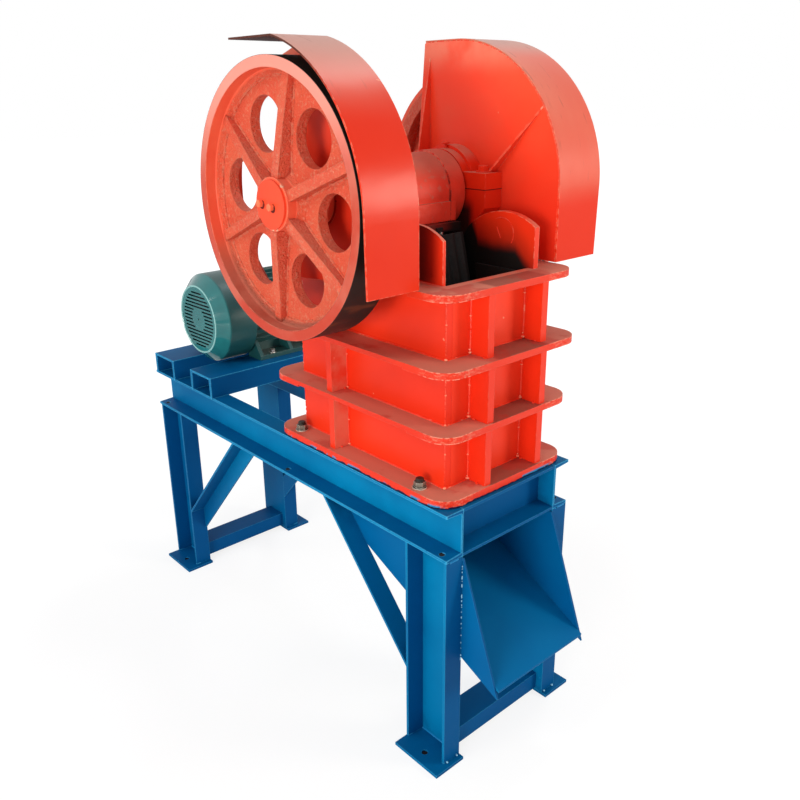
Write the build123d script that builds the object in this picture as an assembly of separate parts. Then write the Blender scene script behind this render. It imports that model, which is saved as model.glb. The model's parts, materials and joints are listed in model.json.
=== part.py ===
from build123d import *
import math
import os

# A small jaw crusher on its welded channel stand, with its drive motor.
# Millimetres. +X is the belt side, +Y the motor end, +Z up.
# The origin lies on the floor, at the centre of the four foot bolts.

# Stand
FOOT_SPACING_X = 446.0
FOOT_SPACING_Y = 1225.0
FRONT_OVERHANG = 60.0
BEAM_LENGTH = 1371.0
BEAM_TOP = 695.0
CHANNEL = {"height": 120.0, "flange": 53.4, "web": 5.5, "tip": 7.0, "root": 10.0}
LEG_CHANNEL = {"height": 135.0, "flange": 53.4, "web": 5.5, "tip": 7.0, "root": 10.0}
TIE_CHANNEL = {"height": 80.0, "flange": 48.0, "web": 5.0, "tip": 6.0, "root": 8.5}
BRACE_IRON = {"leg": 56.0, "thick": 6.0}
RAIL_CHANNEL = {"height": 124.0, "flange": 65.0, "web": 6.0, "tip": 7.5, "root": 10.5}
STAND_HALF_INSIDE = 162.1
FOOT_WIDTH = 93.0
FOOT_LENGTH = 150.0
FOOT_THICK = 8.0
FOOT_HOLE_R = 8.0
BRACE_SLOPE = 48.0
BRACE_REACH_FRONT = 312.0
BRACE_REACH_REAR = 317.0
TIE_CLEARANCE = 14.0
RAIL_HALF_LENGTH = 221.0
RAIL_PITCH = 235.0
MOTOR_FROM_FRONT = 1174.0

# Discharge chute
CHUTE_SHEET = 5.0
CHUTE_LIP_REACH = 116.0
CHUTE_LIP_HEIGHT = 268.0
CHUTE_SLOPE = 0.526
CHUTE_SIDE_SLOPE = 0.463
CHUTE_SIDE_DROP = 23.0
CHUTE_TOP_BELOW = 55.0
CHUTE_SEAM = 7.0
CHUTE_END_GAP = 3.0
CHUTE_LENGTH = 520.0

# Crusher body
PLATE = 20.0
BODY_HALF_WIDTH = 153.0
BODY_FROM_FRONT = 70.0
BODY_LENGTH = 529.0
BODY_HEIGHT = 483.0
RING_THICK = {"base": 20.0, "lower": 16.0, "upper": 16.0, "top": 16.0}
RING_SIDE_THICK = {"base": 20.0, "lower": 11.0, "upper": 11.0, "top": 11.0}
RING_END = 58.0
RING_CORNER_R = 55.0
LOWER_RING_SHARE = 0.3613
UPPER_RING_SHARE = 0.6743
RING_OVERHANG = {"base": 60.0, "lower": 63.0, "upper": 74.0, "top": 58.0}
RING_FAR_EXTRA = {"base": 5.0, "lower": 5.0, "upper": 0.5, "top": 11.0}
RIB_THICK = 20.0
RIB_SETBACK = 6.0
SIDE_RIB_SETBACK = 13.0
FRONT_RIB_X = (-68.0, 111.0)
REAR_RIB_X = (-90.0, 90.0)
SIDE_RIB_FROM_BODY = 353.0
EAR = {"rise": 94.0, "crest": 121.0, "crest_at": 115.0, "end_at": 216.0, "end": 70.0, "foot_at": 232.0,
       "foot": 42.0, "rear_slope": 90.0}
EAR_SETBACK = {"left": 23.5, "right": 4.0}
EAR_THICK = {"left": 8.0, "right": 16.0}

# Shaft and bearings
SHAFT_FROM_BODY = 338.0
SHAFT_RISE = 161.0
SHAFT_R = 35.0
ECCENTRIC_R = 46.0
THROW = 8.0
RUNNING_FIT = 0.05
BLOCK_GAP = 3.0
BLOCK_WIDTH = 60.0
BLOCK = {"half": 158.0, "waist": 130.0, "base": 20.0, "flare": 14.0, "ear_up": 39.0, "ear_down": 44.0,
         "taper": 30.0, "arch": 99.0, "step": 8.0, "step_at": 24.0}

# Wheels
WHEEL_R = 300.0
PULLEY_R = 284.0
WHEEL_WIDTH = 100.0
WHEEL_GAP = 34.0
WHEEL_RIM = 24.0
WHEEL_WEB = 25.0
WHEEL_RECESS = 40.0
WHEEL_FILLET = 14.0
WHEEL_HOLE_R = 60.0
WHEEL_HOLE_PITCH_R = 175.0
WHEEL_HOLE_TURN = 8.5
WHEEL_HOLES = 6
WHEEL_RIB = {"width": 24.0, "hub_rise": 33.0, "hub_run": 12.0, "rim_rise": 12.0}
HUB_R = 58.0
HUB_SETBACK = 3.0
HUB_STAND_OFF = 7.0
END_CAP_R = 53.0
END_CAP_THICK = 6.0

# Belt drive
BELT_COUNT = 3
BELT_PITCH = 22.0
BELT_TOP = 17.0
BELT_BOTTOM = 9.4
BELT_DEEP = 11.0
BELT_GAP = 0.3
BELT_SUNK = 1.5
GROOVE_DEEP = 15.0
GROOVE_SPARE = 2.0
MOTOR_PULLEY_R = 64.0
MOTOR_PULLEY_WIDTH = 74.0

# Swing jaw, liners and toggle
BARREL_R = 94.0
COLLAR_R = 98.5
BARREL_END_GAP = 3.0
COLLAR_WIDTH = 49.0
JAW_HALF_WIDTH = 118.0
JAW_HEAD = {"front": 98.0, "depth": 64.0, "chamfer": 18.0, "rear": 76.0}
JAW_FACE_TOP = {"ahead": 103.0, "below": 95.0}
JAW_FACE_FOOT = {"ahead": 228.0, "above_beam": 43.0}
JAW_SLAB = 34.0
JAW_RIB = 18.0
JAW_RIB_X = (-100.0, 0.0, 100.0)
JAW_SEAT = {"ahead": 116.0, "low": 80.0, "high": 150.0, "deep": 12.0, "notch": 16.0}
JAW_PLATE = 20.0
JAW_PLATE_GAP = 1.0
FIXED_PLATE = {"low": 33.0, "high": 473.0}
TOOTH_DEEP = 11.0
TOOTH_COUNT = 8
TOOTH_FLANK = 0.35
CHEEK = 7.0
CHEEK_REACH_TOP = 128.0
CHEEK_REACH_FOOT = 50.0
WEDGE = {"rear": 76.0, "front": 118.0, "top": 65.0, "low": 85.0, "inset": 3.0}
TOGGLE = {"thick": 20.0, "tip": 14.0, "bevel": 12.0, "clear": 6.0, "rise": 14.0, "inset": 8.0}
SEAT = {"deep": 40.0, "notch": 12.0, "low": 75.0, "high": 175.0, "spare": 7.0, "lead": 10.0}

# Guards, each set out from its own centre
GUARD_SHEET = 4.0
GUARDS = {
    "left": {"side": -1, "room": 54.0, "behind": 32.0, "above": -10.0, "width": 141.0, "rear_top": 94.0,
             "rear_foot": 172.0, "rear_drop": 194.0, "front_drop": 146.5, "taper": 3.0, "band_end": 82.0,
             "level": 8.0, "cut": 92.0, "cut_down": 30.0},
    "right": {"side": 1, "room": 50.5, "behind": 1.0, "above": 11.0, "width": 154.0, "rear_top": 112.0,
              "rear_foot": 160.0, "rear_drop": 169.0, "front_drop": 169.0, "taper": 4.0, "band_end": 110.0,
             "level": 0.0, "cut": 4.0, "cut_down": 4.0},
}
GUARD_SHAFT_HOLE_R = 62.0
REAR_GUSSET = {"behind": 97.0, "reach": 49.0, "top": 304.0}
FRONT_GUSSET = {"ahead": 141.0, "reach": 28.0, "run": 134.0, "rise": 150.0}

# Motor
MOTOR_SHAFT_HEIGHT = 135.0
MOTOR_R = 113.0
MOTOR_FIN_R = 127.0
MOTOR_FIN_THICK = 3.5
MOTOR_FINS = 28
MOTOR_FIN_MARGIN = 14.0
MOTOR_COWL = {"face_r": 108.0, "shoulder": 32.5, "r": 140.7, "length": 126.5, "sheet": 2.5}
MOTOR_SHIELD = {"lip": 10.0, "rear": 30.0, "front_r": 124.0, "front": 40.0, "nose_r": 52.0, "nose": 16.0}
MOTOR_PULLEY_GAP = 9.0
MOTOR_SHAFT_R = 19.0
MOTOR_SHAFT_TAIL = 92.0
MOTOR_FOOT = {"spacing": 235.0, "length": 240.0, "width": 62.0, "outside": 19.0, "thick": 14.0, "wall": 12.0,
              "inside": 74.0, "rise": 96.0, "start": 8.0, "beyond": 30.0}
MOTOR_BOX = {"length": 96.0, "height": 84.0, "reach": 178.0, "from_end": 90.0}
SLOT_ROWS = 13
SLOT_PITCH = 14.0
SLOT_HEIGHT = 6.5
SLOT_FIELD_R = 99.0
SLOT_HUB_R = 30.0
SLOT_TILT = 5.0

FRONT_Y = -FOOT_SPACING_Y / 2 - FRONT_OVERHANG
BEAM_BOTTOM = BEAM_TOP - CHANNEL["height"]
STAND_HALF_WIDTH = STAND_HALF_INSIDE + CHANNEL["flange"]
BODY_TOP = BEAM_TOP + BODY_HEIGHT
BODY_FRONT = FRONT_Y + BODY_FROM_FRONT
BODY_REAR = BODY_FRONT + BODY_LENGTH
BODY_HALF_INSIDE = BODY_HALF_WIDTH - PLATE
RING_TOPS = {
    "base": BEAM_TOP + RING_THICK["base"],
    "lower": BEAM_TOP + LOWER_RING_SHARE * BODY_HEIGHT,
    "upper": BEAM_TOP + UPPER_RING_SHARE * BODY_HEIGHT,
    "top": BODY_TOP,
}
SHAFT_Y = BODY_FRONT + SHAFT_FROM_BODY
SHAFT_Z = BODY_TOP + SHAFT_RISE
BARREL_Z = SHAFT_Z - THROW
BLOCK_INSIDE = BODY_HALF_WIDTH + BLOCK_GAP
BLOCK_OUTSIDE = BLOCK_INSIDE + BLOCK_WIDTH
BARREL_HALF = BODY_HALF_WIDTH - BARREL_END_GAP
WHEEL_INSIDE = BLOCK_OUTSIDE + WHEEL_GAP
WHEEL_OUTSIDE = WHEEL_INSIDE + WHEEL_WIDTH
WHEEL_CENTRE = WHEEL_INSIDE + WHEEL_WIDTH / 2
RAIL_TOP = BEAM_TOP + RAIL_CHANNEL["flange"]
MOTOR_Y = FRONT_Y + MOTOR_FROM_FRONT
MOTOR_Z = RAIL_TOP + MOTOR_SHAFT_HEIGHT
MOTOR_NOSE = WHEEL_CENTRE - MOTOR_PULLEY_WIDTH / 2 - MOTOR_PULLEY_GAP
MOTOR_BODY_END = MOTOR_NOSE - MOTOR_SHIELD["nose"] - MOTOR_SHIELD["front"]
MOTOR_BODY_LENGTH = MOTOR_FOOT["start"] + MOTOR_FOOT["length"] - MOTOR_FOOT["beyond"]
MOTOR_BODY_START = MOTOR_BODY_END - MOTOR_BODY_LENGTH
MOTOR_END = MOTOR_BODY_START - MOTOR_COWL["length"]
SIDES = {"left": -1, "right": 1}
YZ_PLANE = Plane(origin=(0, 0, 0), x_dir=(0, 1, 0), z_dir=(1, 0, 0))


def block(x, y, z):
    """A box between pairs of limits, given in any order."""
    pairs = [sorted(pair) for pair in (x, y, z)]
    size = [high - low for low, high in pairs]
    middle = [(low + high) / 2 for low, high in pairs]
    return Pos(*middle) * Box(*size)


def both(side, low, high):
    """The X limits of something that lies between two distances on one side."""
    return sorted((side * low, side * high))


def side_profile(points, x):
    """A plate whose outline is drawn in Y and Z, between two X planes."""
    outline = Polyline(*points, close=True)
    low, high = sorted(x)
    return Pos(low, 0, 0) * extrude(YZ_PLANE * make_face(outline), amount=high - low)


def disc(radius, x, y=SHAFT_Y, z=SHAFT_Z):
    """A cylinder along X between two X planes."""
    low, high = sorted(x)
    return Pos((low + high) / 2, y, z) * Rot(0, 90, 0) * Cylinder(radius, high - low)


def turned(points, y, z):
    """A solid of revolution about X: each point is a distance along X and a radius."""
    plane = Plane(origin=(0, y, z), x_dir=(1, 0, 0), z_dir=(0, -1, 0))
    axis = Axis((0, y, z), (1, 0, 0))
    return revolve(plane * make_face(Polyline(*points, close=True)), axis=axis)


def channel(kind, start, flange_way, length_way, length):
    """A rolled channel with tapered flanges: start is the middle of the web's outer face at one end."""
    half = kind["height"] / 2
    flange, web, tip, root = kind["flange"], kind["web"], kind["tip"], kind["root"]
    outline = Polyline(
        (0, -half), (flange, -half), (flange, tip - half), (web, root - half),
        (web, half - root), (flange, half - tip), (flange, half), (0, half), close=True)
    plane = Plane(origin=start, x_dir=flange_way, z_dir=length_way)
    return extrude(plane * make_face(outline), amount=length)


def make_stand(nodes):
    beam_z = BEAM_TOP - CHANNEL["height"] / 2
    foot_ys = {"front": -FOOT_SPACING_Y / 2, "rear": FOOT_SPACING_Y / 2}
    leg_shift = LEG_CHANNEL["height"] / 2 - FRONT_OVERHANG
    leg_ys = {end: foot_y + leg_shift for end, foot_y in foot_ys.items()}
    feet = []
    for name, side in SIDES.items():
        web_x = side * STAND_HALF_INSIDE
        nodes["beam_" + name] = channel(
            CHANNEL, (web_x, FRONT_Y, beam_z), (side, 0, 0), (0, 1, 0), BEAM_LENGTH)
        for end, foot_y in foot_ys.items():
            nodes["leg_" + end + "_" + name] = channel(
                LEG_CHANNEL, (web_x, leg_ys[end], FOOT_THICK), (side, 0, 0), (0, 0, 1),
                BEAM_BOTTOM - FOOT_THICK)
            foot = block(both(side, STAND_HALF_INSIDE, STAND_HALF_INSIDE + FOOT_WIDTH),
                         (foot_y - FOOT_LENGTH / 2, foot_y + FOOT_LENGTH / 2), (0, FOOT_THICK))
            hole = Cylinder(FOOT_HOLE_R, 3 * FOOT_THICK)
            feet.append(foot - Pos(side * FOOT_SPACING_X / 2, foot_y, FOOT_THICK / 2) * hole)
        nodes["braces_" + name] = make_braces(side, leg_ys)
    nodes["foot_plates"] = feet
    nodes["cross_beam_front"] = channel(
        CHANNEL, (-STAND_HALF_INSIDE, FRONT_Y + CHANNEL["flange"], beam_z), (0, -1, 0), (1, 0, 0),
        2 * STAND_HALF_INSIDE)
    tie_top = TIE_CLEARANCE + TIE_CHANNEL["flange"]
    nodes["ties"] = [
        channel(TIE_CHANNEL, (-STAND_HALF_INSIDE, foot_y, tie_top), (0, 0, -1), (1, 0, 0),
                2 * STAND_HALF_INSIDE)
        for foot_y in foot_ys.values()
    ]
    nodes["motor_rails"] = [
        channel(RAIL_CHANNEL, (-RAIL_HALF_LENGTH, MOTOR_Y + offset, RAIL_TOP), (0, 0, -1), (1, 0, 0),
                2 * RAIL_HALF_LENGTH)
        for offset in (-RAIL_PITCH / 2, RAIL_PITCH / 2)
    ]


def make_braces(side, leg_ys):
    """The two diagonal angle irons of one side, cut to the beam above and the leg."""
    braces = []
    wall = side * STAND_HALF_INSIDE
    flange = CHANNEL["flange"]
    leg, thick = BRACE_IRON["leg"], BRACE_IRON["thick"]
    slope = math.radians(BRACE_SLOPE)
    for end, away, reach in (("front", 1, BRACE_REACH_FRONT), ("rear", -1, BRACE_REACH_REAR)):
        face_y = leg_ys[end] + away * LEG_CHANNEL["height"] / 2
        run = Vector(0, away * math.cos(slope), math.sin(slope))
        length = reach / math.cos(slope) + 2 * leg
        start = Vector(wall, face_y + away * reach, BEAM_BOTTOM) - run * length
        below = side * away
        outline = Polyline((0, 0), (flange, 0), (flange, below * thick), (thick, below * thick),
                           (thick, below * leg), (0, below * leg), close=True)
        plane = Plane(origin=start, x_dir=(side, 0, 0), z_dir=run)
        bar = extrude(plane * make_face(outline), amount=length + 2 * leg)
        room = block((0, 2 * side * STAND_HALF_WIDTH), (face_y, face_y + away * BEAM_LENGTH),
                     (0, BEAM_BOTTOM))
        braces.append(bar & room)
    return braces


def make_chute(nodes):
    lip_y = FRONT_Y - CHUTE_LIP_REACH
    rear_y = FRONT_Y + CHUTE_LENGTH
    rise = CHUTE_SLOPE * (rear_y - lip_y)
    thick = CHUTE_SHEET * math.hypot(1, CHUTE_SLOPE)
    inside = STAND_HALF_INSIDE - CHUTE_SHEET
    low = CHUTE_LIP_HEIGHT - thick
    nodes["chute_floor"] = side_profile(
        [(lip_y, CHUTE_LIP_HEIGHT), (rear_y, CHUTE_LIP_HEIGHT + rise), (rear_y, low + rise), (lip_y, low)],
        (-inside, inside))
    edge_low = CHUTE_LIP_HEIGHT - CHUTE_SIDE_DROP
    top = BEAM_TOP - CHUTE_TOP_BELOW
    behind = FRONT_Y + CHANNEL["flange"] + CHUTE_END_GAP
    side_rear = lip_y + (BEAM_BOTTOM - edge_low) / CHUTE_SIDE_SLOPE
    seam = BEAM_BOTTOM - CHUTE_SEAM
    outline = [(lip_y, edge_low), (side_rear, BEAM_BOTTOM), (side_rear, top), (behind, top),
               (behind, seam), (FRONT_Y, seam)]
    nodes["chute_sides"] = [
        side_profile(outline, both(side, inside, STAND_HALF_INSIDE)) for side in SIDES.values()
    ]


def ring(name):
    """A flange plate with round corners, welded round the box; most are thinner along the two sides."""
    over = RING_OVERHANG[name]
    extra = RING_FAR_EXTRA[name]
    middle_y = (BODY_FRONT + BODY_REAR) / 2
    plate = RectangleRounded(2 * (BODY_HALF_WIDTH + over) + extra, BODY_LENGTH + 2 * over, RING_CORNER_R)
    hole = Rectangle(2 * BODY_HALF_WIDTH, BODY_LENGTH)
    outline = Pos(extra / 2, 0) * plate - hole
    thick = RING_THICK[name]
    low = RING_TOPS[name] - thick
    flange = extrude(Pos(0, middle_y, low) * outline, amount=thick)
    if RING_SIDE_THICK[name] < thick:
        wide = 2 * BODY_HALF_WIDTH
        flange -= block((-wide, wide), (BODY_FRONT + RING_END, BODY_REAR - RING_END),
                        (low, RING_TOPS[name] - RING_SIDE_THICK[name]))
    return flange


def make_body(nodes):
    for name, side in SIDES.items():
        nodes["side_plate_" + name] = side_plate(side, EAR_SETBACK[name], EAR_THICK[name])
    inside = (-BODY_HALF_INSIDE, BODY_HALF_INSIDE)
    nodes["front_wall"] = block(inside, (BODY_FRONT, BODY_FRONT + PLATE), (BEAM_TOP, BODY_TOP))
    nodes["rear_wall"] = block(inside, (BODY_REAR - PLATE, BODY_REAR), (BEAM_TOP, BODY_TOP))
    for name in RING_TOPS:
        nodes["ring_" + name] = ring(name)
    nodes["ribs"] = make_ribs()


def side_plate(side, setback, ear_thick):
    """One cheek of the box, with the thinner raised ear beside the feed opening."""
    front = BODY_FRONT + setback
    ear_front = (front, BODY_TOP + EAR["rise"])
    crest = (BODY_FRONT + EAR["crest_at"], BODY_TOP + EAR["crest"])
    ear_end = (BODY_FRONT + EAR["end_at"], BODY_TOP + EAR["end"])
    low = BODY_TOP + EAR["foot"]
    edges = [
        ThreePointArc(ear_front, crest, ear_end),
        Polyline(ear_end, (BODY_FRONT + EAR["foot_at"], low), (BODY_REAR - EAR["rear_slope"], low),
                 (BODY_REAR, BODY_TOP), (BODY_REAR, BEAM_TOP), (BODY_FRONT, BEAM_TOP), (BODY_FRONT, BODY_TOP),
                 (front, BODY_TOP), ear_front),
    ]
    low_x = both(side, BODY_HALF_INSIDE, BODY_HALF_WIDTH)[0]
    plate = Pos(low_x, 0, 0) * extrude(YZ_PLANE * make_face(edges), amount=PLATE)
    return plate - block(both(side, BODY_HALF_INSIDE + ear_thick, BODY_HALF_WIDTH), (BODY_FRONT, BODY_REAR),
                         (BODY_TOP, BODY_TOP + 2 * EAR["crest"]))


def make_ribs():
    """Upright stiffeners between the rings, on all four faces of the box."""
    ribs = []
    names = list(RING_TOPS)
    half = RIB_THICK / 2
    rib_y = BODY_FRONT + SIDE_RIB_FROM_BODY
    for below, above in zip(names, names[1:]):
        z = (RING_TOPS[below], RING_TOPS[above] - RING_THICK[above])
        side_z = (RING_TOPS[below], RING_TOPS[above] - RING_SIDE_THICK[above])
        room = min(RING_OVERHANG[below], RING_OVERHANG[above])
        out = room - RIB_SETBACK
        for x in FRONT_RIB_X:
            ribs.append(block((x - half, x + half), (BODY_FRONT - out, BODY_FRONT), z))
        for x in REAR_RIB_X:
            ribs.append(block((x - half, x + half), (BODY_REAR, BODY_REAR + out), z))
        for side in SIDES.values():
            reach = both(side, BODY_HALF_WIDTH, BODY_HALF_WIDTH + room - SIDE_RIB_SETBACK)
            ribs.append(block(reach, (rib_y - half, rib_y + half), side_z))
    return ribs


def make_bearings(nodes):
    """Split plummer blocks: a flared pedestal with ears, and a stepped cap."""
    blocks = []
    caps = []
    y, z, half, waist = SHAFT_Y, SHAFT_Z, BLOCK["half"], BLOCK["waist"]
    for side in SIDES.values():
        x = both(side, BLOCK_INSIDE, BLOCK_OUTSIDE)
        quarter = [
            (half, z), (half, z - BLOCK["ear_down"]), (waist, z - BLOCK["ear_down"] - BLOCK["taper"]),
            (waist, BODY_TOP + BLOCK["base"] + BLOCK["flare"]), (half, BODY_TOP + BLOCK["base"]),
            (half, BODY_TOP),
        ]
        outline = [(y + reach, height) for reach, height in quarter]
        outline += [(y - reach, height) for reach, height in reversed(quarter)]
        bore = disc(SHAFT_R + RUNNING_FIT, (x[0] - BLOCK_GAP, x[1] + BLOCK_GAP))
        blocks.append(side_profile(outline, x) - bore)
        upper = block(x, (y - half, y + half), (z, z + half))
        inner = both(side, BLOCK_INSIDE, BLOCK_INSIDE + BLOCK["step_at"])
        outer = both(side, BLOCK_INSIDE + BLOCK["step_at"], BLOCK_OUTSIDE)
        arch = disc(BLOCK["arch"], outer) + disc(BLOCK["arch"] - BLOCK["step"], inner)
        ears = block(x, (y - half, y + half), (z, z + BLOCK["ear_up"]))
        caps.append(ears + (arch & upper) - bore)
    nodes["bearing_blocks"] = blocks
    nodes["bearing_caps"] = caps


def groove_xs():
    return [WHEEL_CENTRE + BELT_PITCH * (k - (BELT_COUNT - 1) / 2) for k in range(BELT_COUNT)]


def grooved_rim(radius):
    """The outline of a rim from its inner to its outer end, down and up through each V groove."""
    slope = (BELT_TOP - BELT_BOTTOM) / 2 / BELT_DEEP
    wide = BELT_TOP / 2 + BELT_GAP + slope * BELT_SUNK
    narrow = BELT_TOP / 2 + BELT_GAP - slope * (GROOVE_DEEP - BELT_SUNK)
    points = []
    for x in groove_xs():
        points += [(x - wide, radius), (x - narrow, radius - GROOVE_DEEP), (x + narrow, radius - GROOVE_DEEP),
                   (x + wide, radius)]
    return points


def wheel(radius, grooved):
    """A cast wheel on the +X side: turned section, six round holes, and tapered ribs between them."""
    rim = radius - WHEEL_RIM
    if grooved:
        rim -= GROOVE_DEEP
    web_out = WHEEL_OUTSIDE - WHEEL_RECESS
    web_in = web_out - WHEEL_WEB
    hub_out = WHEEL_OUTSIDE - HUB_SETBACK
    hub_in = BLOCK_OUTSIDE + HUB_STAND_OFF
    section = [
        (hub_in, SHAFT_R), (hub_in, HUB_R), (web_in, HUB_R), (web_in, rim), (WHEEL_INSIDE, rim),
        (WHEEL_INSIDE, radius), *(grooved_rim(radius) if grooved else []), (WHEEL_OUTSIDE, radius),
        (WHEEL_OUTSIDE, rim), (web_out + WHEEL_FILLET, rim), (web_out, rim - WHEEL_FILLET),
        (web_out, HUB_R + WHEEL_FILLET), (web_out + WHEEL_FILLET, HUB_R), (hub_out, HUB_R),
        (hub_out, SHAFT_R),
    ]
    body = turned(section, SHAFT_Y, SHAFT_Z)
    hole = disc(WHEEL_HOLE_R, (web_in - WHEEL_WEB, web_out + WHEEL_WEB), 0, 0)
    root = HUB_R - WHEEL_FILLET / 2
    end = rim + WHEEL_RIM / 3
    ribs = []
    for face, way, rise in ((web_out, 1, WHEEL_RIB["hub_rise"]), (web_in, -1, WHEEL_RIB["rim_rise"])):
        buried = face - way * WHEEL_WEB / 2
        outline = Polyline(
            (buried, root), (face + way * rise, root), (face + way * rise, HUB_R + WHEEL_RIB["hub_run"]),
            (face + way * WHEEL_RIB["rim_rise"], end), (buried, end), close=True)
        ribs.append(extrude(make_face(outline), amount=WHEEL_RIB["width"] / 2, both=True))
    for k in range(WHEEL_HOLES):
        turn = WHEEL_HOLE_TURN + 360 / WHEEL_HOLES * k
        centre = Pos(0, SHAFT_Y, SHAFT_Z) * Rot(turn, 0, 0)
        body -= centre * Pos(0, WHEEL_HOLE_PITCH_R, 0) * hole
        for rib in ribs:
            body += Pos(0, SHAFT_Y, SHAFT_Z) * Rot(turn + 180 / WHEEL_HOLES, 0, 0) * rib
    return body


def make_belts():
    """One V-belt in each pair of grooves: two arcs joined by two tangents."""
    big = Vector(SHAFT_Y, SHAFT_Z)
    small = Vector(MOTOR_Y, MOTOR_Z)
    way = small - big
    heading = math.atan2(way.Y, way.X)
    r_big = PULLEY_R - BELT_SUNK
    r_small = MOTOR_PULLEY_R - BELT_SUNK
    lean = math.acos((r_big - r_small) / way.length)

    def at(centre, radius, angle):
        return (centre.X + radius * math.cos(angle), centre.Y + radius * math.sin(angle))

    up, down = heading + lean, heading - lean
    path = [
        Line(at(big, r_big, up), at(small, r_small, up)),
        ThreePointArc(at(small, r_small, up), at(small, r_small, heading), at(small, r_small, down)),
        Line(at(small, r_small, down), at(big, r_big, down)),
        ThreePointArc(at(big, r_big, down), at(big, r_big, heading + math.pi), at(big, r_big, up)),
    ]
    wire = Wire([YZ_PLANE.from_local_coords(edge) for edge in path])
    normal = Vector(0, math.cos(up), math.sin(up))
    section_plane = Plane(origin=wire @ 0, x_dir=(1, 0, 0), z_dir=wire % 0)
    if section_plane.y_dir.dot(normal) < 0:
        section_plane = Plane(origin=wire @ 0, x_dir=(1, 0, 0), z_dir=-(wire % 0))
    belts = []
    for x in groove_xs():
        section = make_face(Polyline(
            (x - BELT_TOP / 2, 0), (x + BELT_TOP / 2, 0),
            (x + BELT_BOTTOM / 2, -BELT_DEEP), (x - BELT_BOTTOM / 2, -BELT_DEEP), close=True))
        belts.append(sweep(section_plane * section, path=wire, transition=Transition.RIGHT))
    return belts


def make_rotor(nodes):
    reach = WHEEL_OUTSIDE - HUB_SETBACK
    shaft = disc(SHAFT_R, (-reach, reach))
    shaft += disc(ECCENTRIC_R, (-BARREL_HALF + BARREL_END_GAP, BARREL_HALF - BARREL_END_GAP), z=BARREL_Z)
    nodes["eccentric_shaft"] = shaft
    nodes["flywheel"] = mirror(wheel(WHEEL_R, False), about=Plane.YZ)
    nodes["belt_pulley"] = wheel(PULLEY_R, True)
    nodes["shaft_end_caps"] = [
        disc(END_CAP_R, both(side, reach, reach + END_CAP_THICK)) for side in SIDES.values()
    ]


def make_jaws(nodes):
    """The swing jaw on the eccentric, the fixed jaw and the cheek liners."""
    face_top = (SHAFT_Y - JAW_FACE_TOP["ahead"], BARREL_Z - JAW_FACE_TOP["below"])
    face_foot = (SHAFT_Y - JAW_FACE_FOOT["ahead"], BEAM_TOP + JAW_FACE_FOOT["above_beam"])
    nodes["swing_jaw"] = swing_jaw(face_top, face_foot)
    nodes["swing_jaw_plate"] = toothed_plate(face_top, face_foot, -1)
    half = JAW_HALF_WIDTH - WEDGE["inset"]
    nodes["jaw_wedge"] = block((-half, half), (SHAFT_Y - WEDGE["front"], SHAFT_Y - WEDGE["rear"]),
                               (BARREL_Z - WEDGE["low"], BARREL_Z - WEDGE["top"]))
    wall_y = BODY_FRONT + PLATE
    low, high = BEAM_TOP + FIXED_PLATE["low"], BEAM_TOP + FIXED_PLATE["high"]
    nodes["fixed_jaw_plate"] = toothed_plate((wall_y, high), (wall_y, low), 1)
    front = wall_y + JAW_PLATE + TOOTH_DEEP + JAW_PLATE_GAP
    outline = [(front, low), (front, high), (front + CHEEK_REACH_TOP, high), (front + CHEEK_REACH_FOOT, low)]
    nodes["cheek_plates"] = [
        side_profile(outline, both(side, BODY_HALF_INSIDE - CHEEK, BODY_HALF_INSIDE))
        for side in SIDES.values()
    ]


def swing_jaw(face_top, face_foot):
    """A casting: barrel, head, slab behind the jaw plate, three ribs, and the toggle seat."""
    half = JAW_HALF_WIDTH
    seam = BARREL_HALF - COLLAR_WIDTH
    jaw = disc(BARREL_R, (-seam, seam), z=BARREL_Z)
    for side in SIDES.values():
        jaw += disc(COLLAR_R, both(side, seam, BARREL_HALF), z=BARREL_Z)
    front = SHAFT_Y - JAW_HEAD["front"]
    rear = SHAFT_Y - JAW_HEAD["rear"]
    low = BARREL_Z - JAW_HEAD["depth"]
    head = [(front, BARREL_Z - JAW_HEAD["chamfer"]), (front, low), (rear, low), (SHAFT_Y, BARREL_Z)]
    jaw += side_profile(head, (-half, half))
    run = Vector(face_top[0] - face_foot[0], face_top[1] - face_foot[1]).normalized()
    back = (run.Y * JAW_SLAB, -run.X * JAW_SLAB)
    slab_rear = (rear, BARREL_Z - WEDGE["low"])
    slab = [(rear, low), slab_rear, face_top, face_foot, (face_foot[0] + back[0], face_foot[1]),
            (face_top[0] + back[0], face_top[1] + back[1]), (SHAFT_Y, BARREL_Z)]
    jaw += side_profile(slab, (-half, half))
    seat_y = SHAFT_Y - JAW_SEAT["ahead"]
    seat_low = BEAM_TOP + JAW_SEAT["low"]
    seat_high = BEAM_TOP + JAW_SEAT["high"]
    rib = [face_foot, (face_foot[0] + back[0], face_foot[1]), (seat_y, seat_low), (seat_y, seat_high),
           (SHAFT_Y + BARREL_R / 2, BARREL_Z - BARREL_R / 2), (SHAFT_Y, BARREL_Z), (rear, low), slab_rear,
           face_top]
    for x in JAW_RIB_X:
        jaw += side_profile(rib, (x - JAW_RIB / 2, x + JAW_RIB / 2))
    floor = seat_y - JAW_SEAT["deep"]
    inner = floor - JAW_SLAB
    middle = (seat_low + seat_high) / 2
    notch = JAW_SEAT["notch"]
    jaw += side_profile(
        [(inner, seat_low), (seat_y, seat_low), (seat_y, middle - notch), (floor, middle - notch / 2),
         (floor, middle + notch / 2), (seat_y, middle + notch), (seat_y, seat_high), (inner, seat_high)],
        (-half, half))
    return jaw - disc(ECCENTRIC_R + RUNNING_FIT, (-BODY_HALF_WIDTH, BODY_HALF_WIDTH), z=BARREL_Z)


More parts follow.
